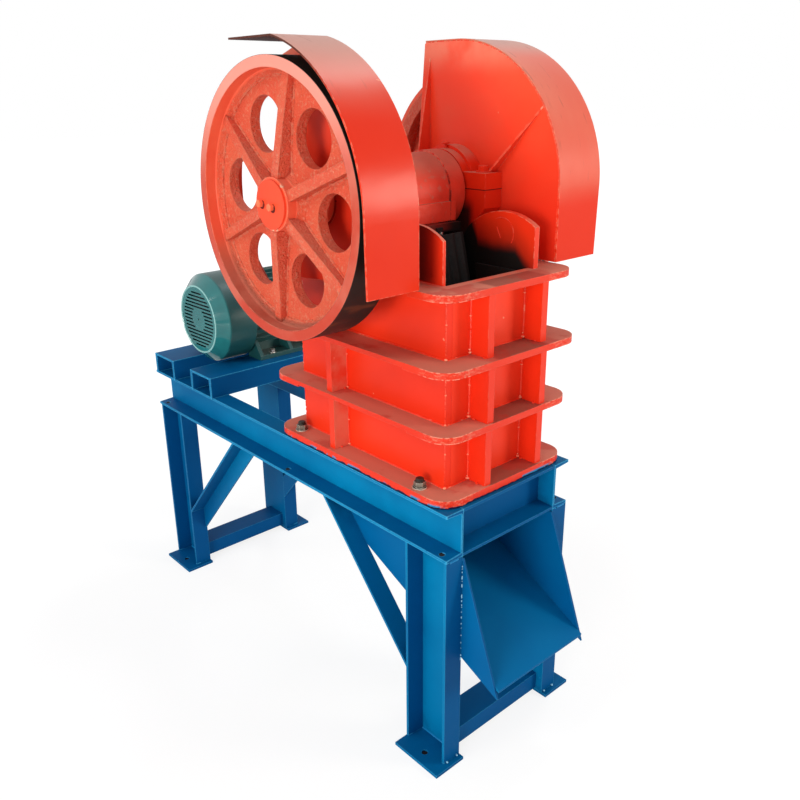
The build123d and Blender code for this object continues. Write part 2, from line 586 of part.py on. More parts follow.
def toothed_plate(top, foot, way):
    """A liner with upright teeth; way says on which side in Y of its back the teeth stand."""
    length = math.hypot(top[0] - foot[0], top[1] - foot[1])
    pitch = 2 * JAW_HALF_WIDTH / TOOTH_COUNT
    points = [(-JAW_HALF_WIDTH, 0), (-JAW_HALF_WIDTH, JAW_PLATE)]
    for k in range(TOOTH_COUNT):
        start = -JAW_HALF_WIDTH + k * pitch
        points.append((start + TOOTH_FLANK * pitch, JAW_PLATE + TOOTH_DEEP))
        points.append((start + (1 - TOOTH_FLANK) * pitch, JAW_PLATE + TOOTH_DEEP))
        points.append((start + pitch, JAW_PLATE))
    points.append((JAW_HALF_WIDTH, 0))
    section = make_face(Polyline(*points, close=True))
    up = Vector(0, top[0] - foot[0], top[1] - foot[1])
    plane = Plane(origin=(0, foot[0], foot[1]), x_dir=(way, 0, 0), z_dir=up)
    return extrude(plane * section, amount=length)


def make_toggle(nodes):
    """The toggle plate behind the swing jaw, and its seat on the rear wall."""
    wall = BODY_REAR - PLATE
    middle = BEAM_TOP + (JAW_SEAT["low"] + JAW_SEAT["high"]) / 2
    far_z = middle + TOGGLE["rise"]
    half = JAW_HALF_WIDTH - TOGGLE["inset"]
    front = wall - SEAT["deep"]
    floor = front + SEAT["notch"]
    tip = TOGGLE["tip"] / 2
    open_at = tip + SEAT["spare"]
    lead = open_at + SEAT["lead"]
    nodes["toggle_seat"] = side_profile(
        [(wall, BEAM_TOP + SEAT["low"]), (wall, BEAM_TOP + SEAT["high"]), (front, BEAM_TOP + SEAT["high"]),
         (front, far_z + lead), (floor, far_z + open_at), (floor, far_z - open_at), (front, far_z - lead),
         (front, BEAM_TOP + SEAT["low"])], (-JAW_HALF_WIDTH, JAW_HALF_WIDTH))
    near = SHAFT_Y - JAW_SEAT["ahead"] + THROW + TOGGLE["clear"]
    bevel = TOGGLE["bevel"]
    thick = TOGGLE["thick"] / 2
    nodes["toggle_plate"] = side_profile(
        [(near, middle - tip), (near + bevel, middle - thick), (floor - bevel, far_z - thick),
         (floor, far_z - tip), (floor, far_z + tip), (floor - bevel, far_z + thick),
         (near + bevel, middle + thick), (near, middle + tip)],
        (-half, half))


def guard_face(centre, radius, guard, inset, cut=0.0, cut_down=0.0):
    """The guard's side view: level top, arc, straight front, and a leaning rear edge with its corner cut."""
    inner = radius - inset
    turn = math.asin((inner - guard["level"]) / inner)

    def at(angle):
        return (centre[0] - inner * math.cos(angle), centre[1] + inner * math.sin(angle))

    front, crest = at(0), at(turn)
    lean = (guard["rear_foot"] - guard["rear_top"]) / (radius + guard["rear_drop"])
    rear_top = centre[0] + guard["rear_top"] + lean * inset
    rear_foot = (centre[0] + guard["rear_foot"], centre[1] - guard["rear_drop"])
    points = [crest, (rear_top - cut, crest[1]), (rear_top + lean * cut_down, crest[1] - cut_down), rear_foot,
              (front[0], centre[1] - guard["front_drop"]), front]
    if not cut:
        del points[1]
    return YZ_PLANE * make_face([ThreePointArc(front, at(turn / 2), crest), Polyline(*points)])


def make_guards(nodes):
    """For each wheel a band round its front and top, and a plate beside the bearing with two gussets."""
    for name, guard in GUARDS.items():
        side = guard["side"]
        wheel_r = WHEEL_R if side < 0 else PULLEY_R
        radius = wheel_r + guard["room"]
        centre = (SHAFT_Y + guard["behind"], SHAFT_Z + guard["above"])
        width = guard["width"]
        outer = extrude(guard_face(centre, radius, guard, 0), amount=width)
        inner = extrude(guard_face(centre, radius, guard, GUARD_SHEET), amount=width)
        low_x = both(side, BLOCK_OUTSIDE, BLOCK_OUTSIDE + width)[0]
        foot = centre[1] - guard["front_drop"]
        band_rear = centre[0] + guard["band_end"]
        room = Polyline(
            (BLOCK_OUTSIDE, foot), (BLOCK_OUTSIDE + width - guard["taper"], foot),
            (BLOCK_OUTSIDE + width, centre[1]), (BLOCK_OUTSIDE + width, centre[1] + radius),
            (BLOCK_OUTSIDE, centre[1] + radius), close=True)
        end_plane = Plane(origin=(0, band_rear, 0), x_dir=(side, 0, 0), z_dir=(0, -side, 0))
        room = extrude(end_plane * make_face(room), amount=side * 2 * radius)
        below = block((0, side * WHEEL_OUTSIDE * 2), (centre[0], band_rear), (centre[1], foot - radius))
        nodes["guard_band_" + name] = (Pos(low_x, 0, 0) * (outer - inner) & room) - below
        face = guard_face(centre, radius, guard, GUARD_SHEET, guard["cut"], guard["cut_down"])
        plate = extrude(face, amount=GUARD_SHEET)
        plate = Pos(both(side, BLOCK_OUTSIDE, BLOCK_OUTSIDE + GUARD_SHEET)[0], 0, 0) * plate
        plate -= disc(GUARD_SHAFT_HOLE_R, both(side, BLOCK_INSIDE, WHEEL_INSIDE))
        edge = disc(radius - GUARD_SHEET, (0, side * BLOCK_OUTSIDE), *centre)
        nodes["guard_plate_" + name] = [plate, *(gusset & edge for gusset in make_gussets(side))]


def make_gussets(side):
    """Two thin triangles that stand on the bearing cap and hold the guard plate upright."""
    foot = SHAFT_Z + BLOCK["ear_up"]
    rear_y = SHAFT_Y + REAR_GUSSET["behind"]
    wall = side * BLOCK_OUTSIDE
    tip = side * (BLOCK_OUTSIDE - REAR_GUSSET["reach"])
    outline = Polyline((wall, foot), (tip, foot), (wall, SHAFT_Z + REAR_GUSSET["top"]), close=True)
    plane = Plane(origin=(0, rear_y, 0), x_dir=(1, 0, 0), z_dir=(0, -1, 0))
    rear = extrude(plane * make_face(outline), amount=GUARD_SHEET)
    run, rise = FRONT_GUSSET["run"], FRONT_GUSSET["rise"]
    length = math.hypot(run, rise)
    along = Vector(0, -run / length, rise / length)
    start = Vector(0, SHAFT_Y - FRONT_GUSSET["ahead"], foot)
    plane = Plane(origin=start, x_dir=(1, 0, 0), z_dir=along.cross(Vector(1, 0, 0)))
    height = 1 if plane.y_dir.dot(along) > 0 else -1
    tip = side * (BLOCK_OUTSIDE - FRONT_GUSSET["reach"])
    lead = FRONT_GUSSET["reach"]
    outline = Polyline((wall, -height * lead), (tip, -height * lead), (tip, 0), (wall, height * length),
                       close=True)
    front = extrude(plane * make_face(outline), amount=GUARD_SHEET)
    above = block((0, 2 * wall), (SHAFT_Y, SHAFT_Y - 2 * WHEEL_R), (foot, foot + 2 * length))
    return [rear, front & above]


def make_motor(nodes):
    """A finned, foot-mounted motor lying across the two rails."""
    shield = MOTOR_SHIELD
    start, end = MOTOR_BODY_START, MOTOR_BODY_END
    front = end + shield["front"]
    rear = start - shield["rear"]
    seat_r = MOTOR_COWL["r"] - MOTOR_COWL["sheet"]
    front_r, nose_r = shield["front_r"], shield["nose_r"]
    frame = turned(
        [(rear, 0), (rear, nose_r), (start - shield["lip"], seat_r), (start, seat_r), (start, MOTOR_R),
         (end, MOTOR_R), (end, front_r), (front - shield["nose"], front_r), (front, nose_r),
         (MOTOR_NOSE, nose_r), (MOTOR_NOSE, 0)], MOTOR_Y, MOTOR_Z)
    fin_length = MOTOR_BODY_LENGTH - 2 * MOTOR_FIN_MARGIN
    fin = Box(fin_length, MOTOR_FIN_R - MOTOR_R + MOTOR_FIN_THICK, MOTOR_FIN_THICK)
    middle = (start + end) / 2
    fin = Pos(0, (MOTOR_FIN_R + MOTOR_R - MOTOR_FIN_THICK) / 2, 0) * fin
    for k in range(MOTOR_FINS):
        turn = 360 / MOTOR_FINS * (k + 0.5)
        frame += Pos(middle, MOTOR_Y, MOTOR_Z) * Rot(turn, 0, 0) * fin
    frame += make_motor_feet()
    box = MOTOR_BOX
    box_x = (end - box["from_end"] - box["length"], end - box["from_end"])
    frame += block(box_x, (MOTOR_Y + MOTOR_R / 2, MOTOR_Y + box["reach"]),
                   (MOTOR_Z - box["height"] / 4, MOTOR_Z + box["height"] * 3 / 4))
    bore = (rear - shield["nose"], MOTOR_NOSE + shield["nose"])
    frame -= disc(MOTOR_SHAFT_R + RUNNING_FIT, bore, MOTOR_Y, MOTOR_Z)
    nodes["motor_frame"] = frame
    nodes["motor_fan_cowl"] = make_fan_cowl()
    half = MOTOR_PULLEY_WIDTH / 2
    low, high = WHEEL_CENTRE - half, WHEEL_CENTRE + half
    tail = MOTOR_END + MOTOR_SHAFT_TAIL
    nodes["motor_pulley"] = turned(
        [(tail, 0), (tail, MOTOR_SHAFT_R), (low, MOTOR_SHAFT_R), (low, MOTOR_PULLEY_R),
         *grooved_rim(MOTOR_PULLEY_R), (high, MOTOR_PULLEY_R), (high, 0)], MOTOR_Y, MOTOR_Z)
    nodes["v_belts"] = make_belts()


def make_motor_feet():
    """Two long feet, each a plate with three upright walls that run up to the motor body."""
    foot = MOTOR_FOOT
    start = MOTOR_BODY_START + foot["start"]
    end = start + foot["length"]
    plate_top = RAIL_TOP + foot["thick"]
    feet = None
    for way in SIDES.values():
        outside = MOTOR_Y + way * (foot["spacing"] / 2 + foot["outside"])
        inside = outside - way * foot["width"]
        piece = block((start, end), (inside, outside), (RAIL_TOP, plate_top))
        root = MOTOR_Y + way * foot["inside"]
        for k in range(3):
            low = start + (foot["length"] - foot["wall"]) * k / 2
            wall = [(inside, RAIL_TOP), (outside, RAIL_TOP), (outside, plate_top),
                    (root, RAIL_TOP + foot["rise"]), (root - way * foot["wall"], MOTOR_Z - MOTOR_R / 2)]
            piece += side_profile(wall, (low, low + foot["wall"]))
        inner = inside - way * foot["wall"]
        piece += block((start, end), (inner, inside), (RAIL_TOP, MOTOR_Z - MOTOR_R / 2))
        feet = piece if feet is None else feet + piece
    return feet


def make_fan_cowl():
    """A sheet bell over the fan end, with rows of slots on both sides of a plain middle."""
    cowl = MOTOR_COWL
    end = MOTOR_END
    sheet = cowl["sheet"]
    rim = end + cowl["length"]
    shoulder = end + cowl["shoulder"]
    outer, face_r = cowl["r"], cowl["face_r"]
    shell = turned(
        [(rim, outer), (shoulder, outer), (end, face_r), (end, 0), (end + sheet, 0),
         (end + sheet, face_r - sheet), (shoulder + sheet, outer - sheet), (rim, outer - sheet)],
        MOTOR_Y, MOTOR_Z)
    slots = None
    for k in range(SLOT_ROWS):
        height = SLOT_PITCH * (k - (SLOT_ROWS - 1) / 2)
        half = math.sqrt(SLOT_FIELD_R ** 2 - height ** 2)
        keep = SLOT_HUB_R if abs(height) < SLOT_HUB_R else SLOT_HEIGHT / 2
        for way in SIDES.values():
            slot = block((-sheet, 2 * sheet), (way * keep, way * half),
                         (height - SLOT_HEIGHT / 2, height + SLOT_HEIGHT / 2))
            slots = slot if slots is None else slots + slot
    return shell - Pos(end, MOTOR_Y, MOTOR_Z) * Rot(SLOT_TILT, 0, 0) * slots


def main():
    nodes = {}
    make_stand(nodes)
    make_chute(nodes)
    make_body(nodes)
    make_jaws(nodes)
    make_toggle(nodes)
    make_bearings(nodes)
    make_rotor(nodes)
    make_guards(nodes)
    make_motor(nodes)
    os.makedirs("parts", exist_ok=True)
    for name, shape in nodes.items():
        if isinstance(shape, list):
            shape = Compound(children=shape)
        export_step(shape, "parts/" + name + ".step")


main()
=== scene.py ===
import json
import math
import random
import bmesh
import bpy
from mathutils import Matrix, Vector


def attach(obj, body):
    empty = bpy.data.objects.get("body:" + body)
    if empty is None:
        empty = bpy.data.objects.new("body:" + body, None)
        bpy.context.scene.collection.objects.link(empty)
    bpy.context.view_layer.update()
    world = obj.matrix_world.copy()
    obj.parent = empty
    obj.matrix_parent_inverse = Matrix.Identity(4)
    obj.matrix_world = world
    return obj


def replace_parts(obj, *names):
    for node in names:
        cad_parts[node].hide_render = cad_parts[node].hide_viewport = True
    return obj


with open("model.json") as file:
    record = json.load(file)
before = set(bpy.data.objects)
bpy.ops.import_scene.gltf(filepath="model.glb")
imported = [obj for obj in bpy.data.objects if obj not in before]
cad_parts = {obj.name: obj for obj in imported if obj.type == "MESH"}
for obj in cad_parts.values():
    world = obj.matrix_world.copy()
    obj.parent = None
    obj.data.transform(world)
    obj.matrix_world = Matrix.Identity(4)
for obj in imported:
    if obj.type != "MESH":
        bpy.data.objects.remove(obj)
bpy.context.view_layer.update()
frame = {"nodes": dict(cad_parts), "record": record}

# Looks for the jaw crusher: finishes, bolts, welds and small parts.
# Lengths are millimetres in the part's frame, but metres in the finishes, the camera and the lights.

MM = 0.001
NODES = frame["nodes"]
SLOT_OF = {part["node"]: part["material_slot"] for part in frame["record"]["subparts"]}

SHAFT = Vector((0.0, -264.5, 1339.0))
BARREL_Z = 1331.0
WEDGE_AHEAD = 118.0
MOTOR = Vector((0.0, 501.5, 895.0))
BODY_X = 153.0
BODY_FRONT = -602.5
BODY_REAR = -73.5
BODY_MIDDLE = (BODY_FRONT + BODY_REAR) / 2
BEAM_TOP = 695.0
BEAM_BOTTOM = 575.0
RING_TOPS = (715.0, 869.5, 1020.7, 1178.0)
RING_THICK = 16.0
RING_SIDE_THICK = 11.0
SIDE_RIB_Y = -249.5
FRONT_RIBS_X = (-68.0, 111.0)
REAR_RIBS_X = (-90.0, 90.0)
RIB_THICK = 20.0
FOOT_X, FOOT_Y = 223.0, 612.5
WHEEL_R = 300.0
WEB_FACE_X = 310.0
RIM_INSIDE_R = 276.0
PULLEY_INSIDE_R = 245.0
WHEEL_RIBS_FROM = 38.5
GUARDS = {
    "left": {"side": -1, "y": -232.5, "z": 1329.0, "r": 354.0, "level_from": 102.4, "rear": -236.0},
    "right": {"side": 1, "y": -263.5, "z": 1350.0, "r": 334.5, "level_from": 90.0, "rear": -160.0},
}
GUARD_X = 216.0
GUARD_FOOT = 1192.0
CAP_FACE_X = 353.0
CAP_BACK_X = 345.5
CAP_SEAM_R = 55.5
BLOCK_X = (155.6, 216.4)
BLOCK_Y = (52.0, 158.4)
BEARING_BOLT_X = 186.0
BEARING_BOLT_Y = 124.0
CAP_EAR_RISE = 39.0
GREASE_CUP = (176.5, -3.0, 86.0)
EAR_FACE_X = 132.6
ANCHORS = ((186.0, -97.5, 24.0), (188.4, -558.0, 12.0))
CHANNEL_WEB_X = 164.0
CHANNEL_TIP_X = 215.0
BEAM_HOLE_X = 201.0
BEAM_HOLES_Y = (-644.7, -40.4, 665.8)
LEGS_Y = (-605.0, 620.0)
LEG_HALF = 67.5
FOOT_TOP = 8.0
MOTOR_FOOT_X = (42.0, 185.0)
MOTOR_FOOT_Y = 122.0
MOTOR_FOOT_TOP = 774.0
COWL = {"end": -146.5, "rim": -20.0, "face_r": 108.0, "shoulder": 32.5, "r": 140.7, "sheet": 2.5}
COWL_SCREW_X = -36.0
COWL_SCREW_R = 140.0
COWL_HOLES_R = 97.5
SLOT_ROWS = 16
SLOT_PITCH = 11.3
SLOT_HEIGHT = 5.4
SLOT_FIELD_R = 90.5
SLOT_HUB_R = 37.5
SLOT_HUB_HALF = 30.0
SLOT_TILT = -0.8


# Finishes

def colour(red, green, blue):
    """An sRGB colour, 0 to 255, as the linear one that a shader takes."""
    parts = []
    for part in (red, green, blue):
        part /= 255
        parts.append(part / 12.92 if part <= 0.04045 else ((part + 0.055) / 1.055) ** 2.4)
    return (*parts, 1.0)


RED = colour(238, 54, 20)
RED_DEEP = colour(210, 32, 12)
RED_PALE = colour(242, 92, 58)
RED_WORN = colour(244, 158, 128)
RED_DUST = colour(208, 130, 108)
PINK_DUST = colour(224, 126, 102)
PALE_DUST_AND_SHEEN = colour(204, 160, 148)
BROWN_DUST = colour(140, 74, 58)
BLUE = colour(0, 130, 182)
BLUE_DEEP = colour(0, 72, 130)
BLUE_SHADE = colour(0, 50, 98)
BLUE_WORN = colour(70, 178, 224)
TEAL = colour(38, 120, 122)
TEAL_DEEP = colour(26, 84, 88)
TEAL_WORN = colour(150, 190, 190)
GREY_DUST = colour(112, 108, 96)
BLACK_PAINT = colour(17, 15, 14)
BLACK_IRON = colour(26, 22, 19)
IRON = colour(40, 37, 35)
IRON_WORN = colour(96, 92, 88)
STEEL = colour(168, 166, 160)
RUBBER = colour(22, 22, 23)
GRIME = colour(34, 20, 14)
RUST = colour(96, 50, 30)


RELIEF = 0.001


class Finish:
    """A layered procedural finish: each call lays one effect over the colour so far."""

    def __init__(self, name, base, roughness, metallic=0.0):
        self.material = bpy.data.materials.new(name)
        self.material.use_nodes = True
        self.tree = self.material.node_tree
        self.shader = self.tree.nodes["Principled BSDF"]
        self.shader.inputs["Metallic"].default_value = metallic
        coordinates = self.node("ShaderNodeTexCoord")
        self.place = coordinates.outputs["Object"]
        self.x, self.y, self.z = self.split(self.place)
        self.facing = self.split(coordinates.outputs["Normal"])
        self.colour = base
        self.roughness = roughness
        self.height = None

    def node(self, kind, **settings):
        made = self.tree.nodes.new(kind)
        for key, value in settings.items():
            setattr(made, key, value)
        return made

    def put(self, socket, value):
        if isinstance(value, bpy.types.NodeSocket):
            self.tree.links.new(value, socket)
        else:
            socket.default_value = value

    def split(self, vector):
        made = self.node("ShaderNodeSeparateXYZ")
        self.put(made.inputs[0], vector)
        return made.outputs

    def reckon(self, operation, first, second=0.0):
        made = self.node("ShaderNodeMath", operation=operation)
        self.put(made.inputs[0], first)
        self.put(made.inputs[1], second)
        return made.outputs[0]

    def times(self, first, *others):
        for other in others:
            first = self.reckon("MULTIPLY", first, other)
        return first

    def plus(self, first, second):
        return self.reckon("ADD", first, second)

    def minus(self, first, second):
        return self.reckon("SUBTRACT", first, second)

    def size(self, value):
        return self.reckon("ABSOLUTE", value)

    def ramp(self, value, low, high):
        """0 below low, 1 above high, or the other way round when low is the larger."""
        made = self.node("ShaderNodeMapRange", interpolation_type="SMOOTHSTEP")
        self.put(made.inputs["Value"], value)
        made.inputs["From Min"].default_value = low
        made.inputs["From Max"].default_value = high
        return made.outputs["Result"]

    def noise(self, scale, detail=3.0, stretch=None, roughness=0.55):
        made = self.node("ShaderNodeTexNoise")
        place = self.place
        if stretch is not None:
            mapping = self.node("ShaderNodeMapping")
            self.put(mapping.inputs["Vector"], place)
            mapping.inputs["Scale"].default_value = stretch
            place = mapping.outputs["Vector"]
        self.put(made.inputs["Vector"], place)
        made.inputs["Scale"].default_value = scale
        made.inputs["Detail"].default_value = detail
        made.inputs["Roughness"].default_value = roughness
        return made.outputs["Fac"]

    def blend(self, factor, first, second):
        made = self.node("ShaderNodeMix", data_type="RGBA")
        self.put(made.inputs[0], factor)
        self.put(made.inputs[6], first)
        self.put(made.inputs[7], second)
        return made.outputs[2]

    def blend_value(self, factor, first, second):
        made = self.node("ShaderNodeMix", data_type="FLOAT")
        self.put(made.inputs[0], factor)
        self.put(made.inputs[2], first)
        self.put(made.inputs[3], second)
        return made.outputs[0]

    def lay(self, mask, over, roughness=None):
        self.colour = self.blend(mask, self.colour, over)
        if roughness is not None:
            self.roughness = self.blend_value(mask, self.roughness, roughness)

    def vary(self, over, scale=4.0, amount=0.8):
        """Broad, uneven patches of a second tone."""
        mask = self.ramp(self.noise(scale, 4.0), 0.38, 0.66)
        self.lay(self.times(mask, amount), over)

    def edges(self, reach, inside=True):
        made = self.node("ShaderNodeAmbientOcclusion", samples=6, inside=inside)
        made.inputs["Distance"].default_value = reach
        return self.minus(1.0, made.outputs["AO"])

    def worn(self, over, reach=0.003, amount=0.75, start=0.40, scale=70.0):
        """Paint rubbed thin along the outer edges, in broken runs."""
        broken = self.ramp(self.noise(scale, 4.0), start, start + 0.16)
        self.lay(self.times(self.ramp(self.edges(reach), 0.18, 0.50), broken, amount), over)

    def dusty(self, over, amount=0.8, low=0.55, high=0.95, start=0.30):
        """Dust settled on what faces up."""
        patchy = self.ramp(self.noise(9.0, 5.0), start, start + 0.25)
        up = self.ramp(self.facing[2], low, high)
        self.lay(self.times(up, patchy, amount), over, 0.75)

    def dirt_and_shade_in_corners(self, over, reach=0.03, amount=0.6):
        """Darkening in the inner corners: dirt, and painted shade."""
        mask = self.ramp(self.edges(reach, inside=False), 0.35, 0.9)
        broken = self.ramp(self.noise(24.0, 4.0), 0.25, 0.6)
        self.lay(self.times(mask, broken, amount), over, 0.7)

    def chipped(self, over, scale=38.0, start=0.70, amount=0.9):
        """Few small flecks where the paint has gone."""
        flecks = self.ramp(self.noise(scale, 2.0), start, start + 0.025)
        self.lay(self.times(flecks, amount), over, 0.5)

    def rise(self, value, step):
        """Adds to the surface's relief; step is its height in metres."""
        grown = self.times(value, step / RELIEF)
        self.height = grown if self.height is None else self.plus(self.height, grown)

    def uneven(self, scale, step):
        """Sags in the paint at a low scale, its fine grain at a high one."""
        self.rise(self.noise(scale, 2.0), step)

    def bevelled(self, radius):
        made = self.node("ShaderNodeBevel", samples=4)
        made.inputs["Radius"].default_value = radius
        return made.outputs["Normal"]

    def done(self, edge=0.0015, specular=0.5):
        self.put(self.shader.inputs["Base Color"], self.colour)
        self.put(self.shader.inputs["Roughness"], self.roughness)
        self.shader.inputs["Specular IOR Level"].default_value = specular
        normal = self.bevelled(edge) if edge else None
        if self.height is not None:
            bump = self.node("ShaderNodeBump")
            bump.inputs["Distance"].default_value = RELIEF
            self.put(bump.inputs["Height"], self.height)
            if normal is not None:
                self.put(bump.inputs["Normal"], normal)
            normal = bump.outputs["Normal"]
        if normal is not None:
            self.put(self.shader.inputs["Normal"], normal)
        return self.material


def radius_about(finish, centre):
    """Distance from a line along X through the centre, in metres."""
    y = finish.minus(finish.y, centre.y * MM)
    z = finish.minus(finish.z, centre.z * MM)
    squares = [finish.reckon("POWER", part, 2.0) for part in (y, z)]
    return finish.reckon("SQRT", finish.plus(*squares))


def red_paint(name, dust=0.92, worn=0.5, base=RED):
    made = Finish(name, base, 0.38)
    made.vary(RED_DEEP, 2.2, 0.35)
    made.dusty(RED_DUST, dust)
    made.dirt_and_shade_in_corners(RED_DEEP, 0.03, 0.55)
    made.worn(RED_WORN, 0.0015, worn, 0.5)
    made.chipped(RED_WORN, 55.0, 0.755, 0.8)
    made.uneven(12.0, 0.0008)
    made.uneven(420.0, 0.00005)
    return made.done(specular=0.28)


def block_paint(name):
    """The bearing blocks: red, with overspray from the chamber on their inner faces."""
    made = Finish(name, RED_DEEP, 0.38)
    made.vary(RED, 5.0, 0.6)
    made.dusty(RED_DUST, 0.8)
    made.worn(RED_WORN, 0.0025, 0.4, 0.5)
    inner = made.ramp(made.size(made.x), 0.160, 0.157)
    low = made.ramp(made.z, 1.325, 1.285)
    back = made.ramp(made.y, -0.394, -0.366)
    made.lay(made.times(low, back, inner, 0.96), BLACK_PAINT, 0.6)
    made.uneven(12.0, 0.0008)
    return made.done(specular=0.28)


def rib_paint(name):
    """The upright ribs: dust has settled on the side ribs where they face ahead."""
    made = Finish(name, RED, 0.38)
    made.vary(RED_DEEP, 2.2, 0.35)
    made.dirt_and_shade_in_corners(RED_DEEP, 0.03, 0.5)
    ahead = made.ramp(made.facing[1], -0.6, -0.9)
    beside = made.ramp(made.size(made.x), (BODY_X - 1) * MM, (BODY_X + 3) * MM)
    settled = made.times(made.ramp(made.noise(14.0, 4.0), 0.2, 0.6), 0.75)
    made.lay(made.times(ahead, beside, settled), colour(228, 134, 108))
    made.worn(RED_WORN, 0.0015, 0.5, 0.5)
    made.chipped(RED_WORN, 55.0, 0.755, 0.8)
    made.uneven(12.0, 0.0008)
    return made.done(specular=0.28)


def ring_paint(name, foot_splash_and_shadow):
    """A flame-cut plate: dust on top, ragged pale edges at the round corners, painted shade between the
    front ribs, and on the base ring a painted shadow line along its foot.
    """
    made = Finish(name, colour(228, 50, 18), 0.4)
    made.vary(RED_DEEP, 2.4, 0.3)
    ragged = made.ramp(made.noise(60.0, 4.0, (1.0, 1.0, 2.6), 0.7), 0.50, 0.60)
    out = made.size(made.minus(made.y, BODY_MIDDLE * MM))
    beside = made.ramp(made.size(made.x), 0.085, 0.150)
    corner = made.times(made.ramp(out, 0.240, 0.285), beside)
    upright = made.ramp(made.size(made.facing[2]), 0.6, 0.3)
    cut = made.times(corner, upright)
    made.lay(made.times(cut, ragged, 0.3), RED_WORN, 0.55)
    made.dusty(RED_DUST, 0.97, start=0.05)
    up = made.ramp(made.facing[2], 0.55, 0.95)
    near_x = made.ramp(made.size(made.x), 0.192, 0.158)
    near_y = made.ramp(out, 0.306, 0.272)
    near = made.times(near_x, near_y, up)
    made.lay(made.times(near, 0.25), colour(150, 82, 64))
    # Painted shade on the tops in the recess between the front ribs.
    between = made.times(up, made.ramp(made.y, -0.600, -0.606))
    across = made.size(made.minus(made.x, 0.0215))
    between = made.times(between, made.ramp(across, 0.092, 0.078))
    made.lay(made.times(between, 0.6), colour(112, 44, 30))
    rubbed = made.ramp(made.noise(8.0, 4.0), 0.55, 0.63)
    made.lay(made.times(rubbed, up, 0.5), colour(190, 52, 38))
    edge = made.ramp(made.edges(0.004), 0.22, 0.42)
    dots = made.ramp(made.noise(120.0, 3.0), 0.42, 0.56)
    share = made.plus(0.08, made.times(corner, 0.85))
    made.lay(made.times(edge, dots, share), colour(255, 176, 148))
    if foot_splash_and_shadow:
        low = made.ramp(made.z, (BEAM_TOP + 11) * MM, (BEAM_TOP + 5) * MM)
        broken = made.ramp(made.noise(13.0, 4.0), 0.54, 0.58)
        made.lay(made.times(low, broken), BLUE)
        # A painted shadow line along the foot of the base ring.
        ragged_foot = made.times(made.ramp(made.noise(30.0, 3.0), 0.35, 0.65), 0.0035)
        gap = made.minus(made.z, ragged_foot)
        made.lay(made.ramp(gap, (BEAM_TOP + 2.6) * MM, (BEAM_TOP + 1.8) * MM), colour(3, 20, 56))
    made.rise(made.times(cut, made.noise(130.0, 3.0)), 0.004)
    made.uneven(12.0, 0.0012)
    made.rise(made.noise(260.0, 3.0), 0.0001)
    return made.done(0.002, specular=0.28)


def cheek_paint(name, side):
    """A side plate: red outside and at the ear, black overspray on the inside of the chamber."""
    made = Finish(name, RED, 0.4)
    made.vary(RED_DEEP, 2.2, 0.35)
    made.dusty(RED_DUST, 0.8)
    ear = made.ramp(made.z, (RING_TOPS[3] - 2) * MM, (RING_TOPS[3] + 4) * MM)
    broken = made.ramp(made.noise(70.0, 4.0), 0.42, 0.58)
    rim = made.times(made.ramp(made.edges(0.003), 0.18, 0.50), broken, ear)
    made.lay(made.times(rim, 0.9), RED_WORN)
    made.chipped(RED_WORN, 55.0, 0.755, 0.8)
    # The left ear's outer face, darker towards the back: the guard's painted shadow, with some dirt.
    if side < 0:
        outer = made.times(made.ramp(made.facing[0], -0.4, -0.6), ear)
        shade = made.times(outer, made.ramp(made.y, -0.590, -0.515))
        made.lay(made.times(shade, 0.9), colour(52, 24, 16), 0.6)
    inner = made.ramp(made.times(made.facing[0], -side), 0.4, 0.6)
    wavy = made.times(made.minus(made.noise(9.0, 3.0), 0.5), 0.024)
    level = made.reckon("MINIMUM", made.plus(made.y, 0.572), 0.030)
    back = made.times(made.reckon("MAXIMUM", made.plus(made.y, 0.425), 0.0), 2.3)
    line = made.minus(made.minus(made.z, made.plus(level, back)), wavy)
    soot = made.times(made.ramp(line, 1.209, 1.172), inner)
    dull = made.times(made.ramp(line, 1.275, 1.18), inner, 0.6)
    made.lay(dull, colour(120, 26, 16))
    made.lay(soot, BLACK_PAINT, 0.5)
    made.uneven(12.0, 0.0008)
    return made.done(specular=0.28)


def guard_paint(name, guard, dust_from, pale_from):
    """Rolled sheet: glossy, with pink dust and a pale sheen of dust and painted highlight on the part
    that faces up, and painted shade inside.
    """
    made = Finish(name, colour(224, 46, 12), 0.30)
    made.vary(RED_DEEP, 3.0, 0.25)
    broad = made.ramp(made.noise(5.0, 3.0, (1.0, 0.5, 0.5)), 0.25, 0.75)
    up = made.ramp(made.facing[2], dust_from, 0.95)
    up = made.times(up, made.ramp(made.z, 1.30, 1.37))
    thick = made.times(up, made.plus(made.times(broad, 0.35), 0.6))
    made.lay(thick, PINK_DUST, 0.45)
    # A pale sheen high on the band: dust and painted highlight.
    made.lay(made.times(made.ramp(made.facing[2], pale_from, 0.98), 0.85), PALE_DUST_AND_SHEEN, 0.5)
    streaks = made.ramp(made.noise(90.0, 3.0, (1.0, 0.15, 0.15)), 0.62, 0.72)
    made.lay(made.times(streaks, up, 0.35), BROWN_DUST)
    made.worn(RED_WORN, 0.0025, 0.8, 0.42)
    made.chipped(RED_WORN, 42.0, 0.765, 0.8)
    # Painted shade on the inside of the band.
    out_y = made.times(made.minus(made.y, guard["y"] * MM), made.facing[1])
    out_z = made.times(made.minus(made.z, guard["z"] * MM), made.facing[2])
    inside = made.ramp(made.plus(out_y, out_z), -0.08, -0.20)
    made.lay(made.times(inside, 0.9), colour(44, 20, 14), 0.6)
    rim = made.ramp(made.size(made.facing[0]), 0.6, 0.8)
    tone = colour(84, 44, 34) if guard["side"] < 0 else colour(214, 124, 96)
    made.lay(made.times(rim, made.ramp(made.z, 1.50, 1.66)), tone, 0.6)
    made.uneven(7.0, 0.0022)
    made.uneven(420.0, 0.00004)
    return made.done(0.001, specular=0.2)


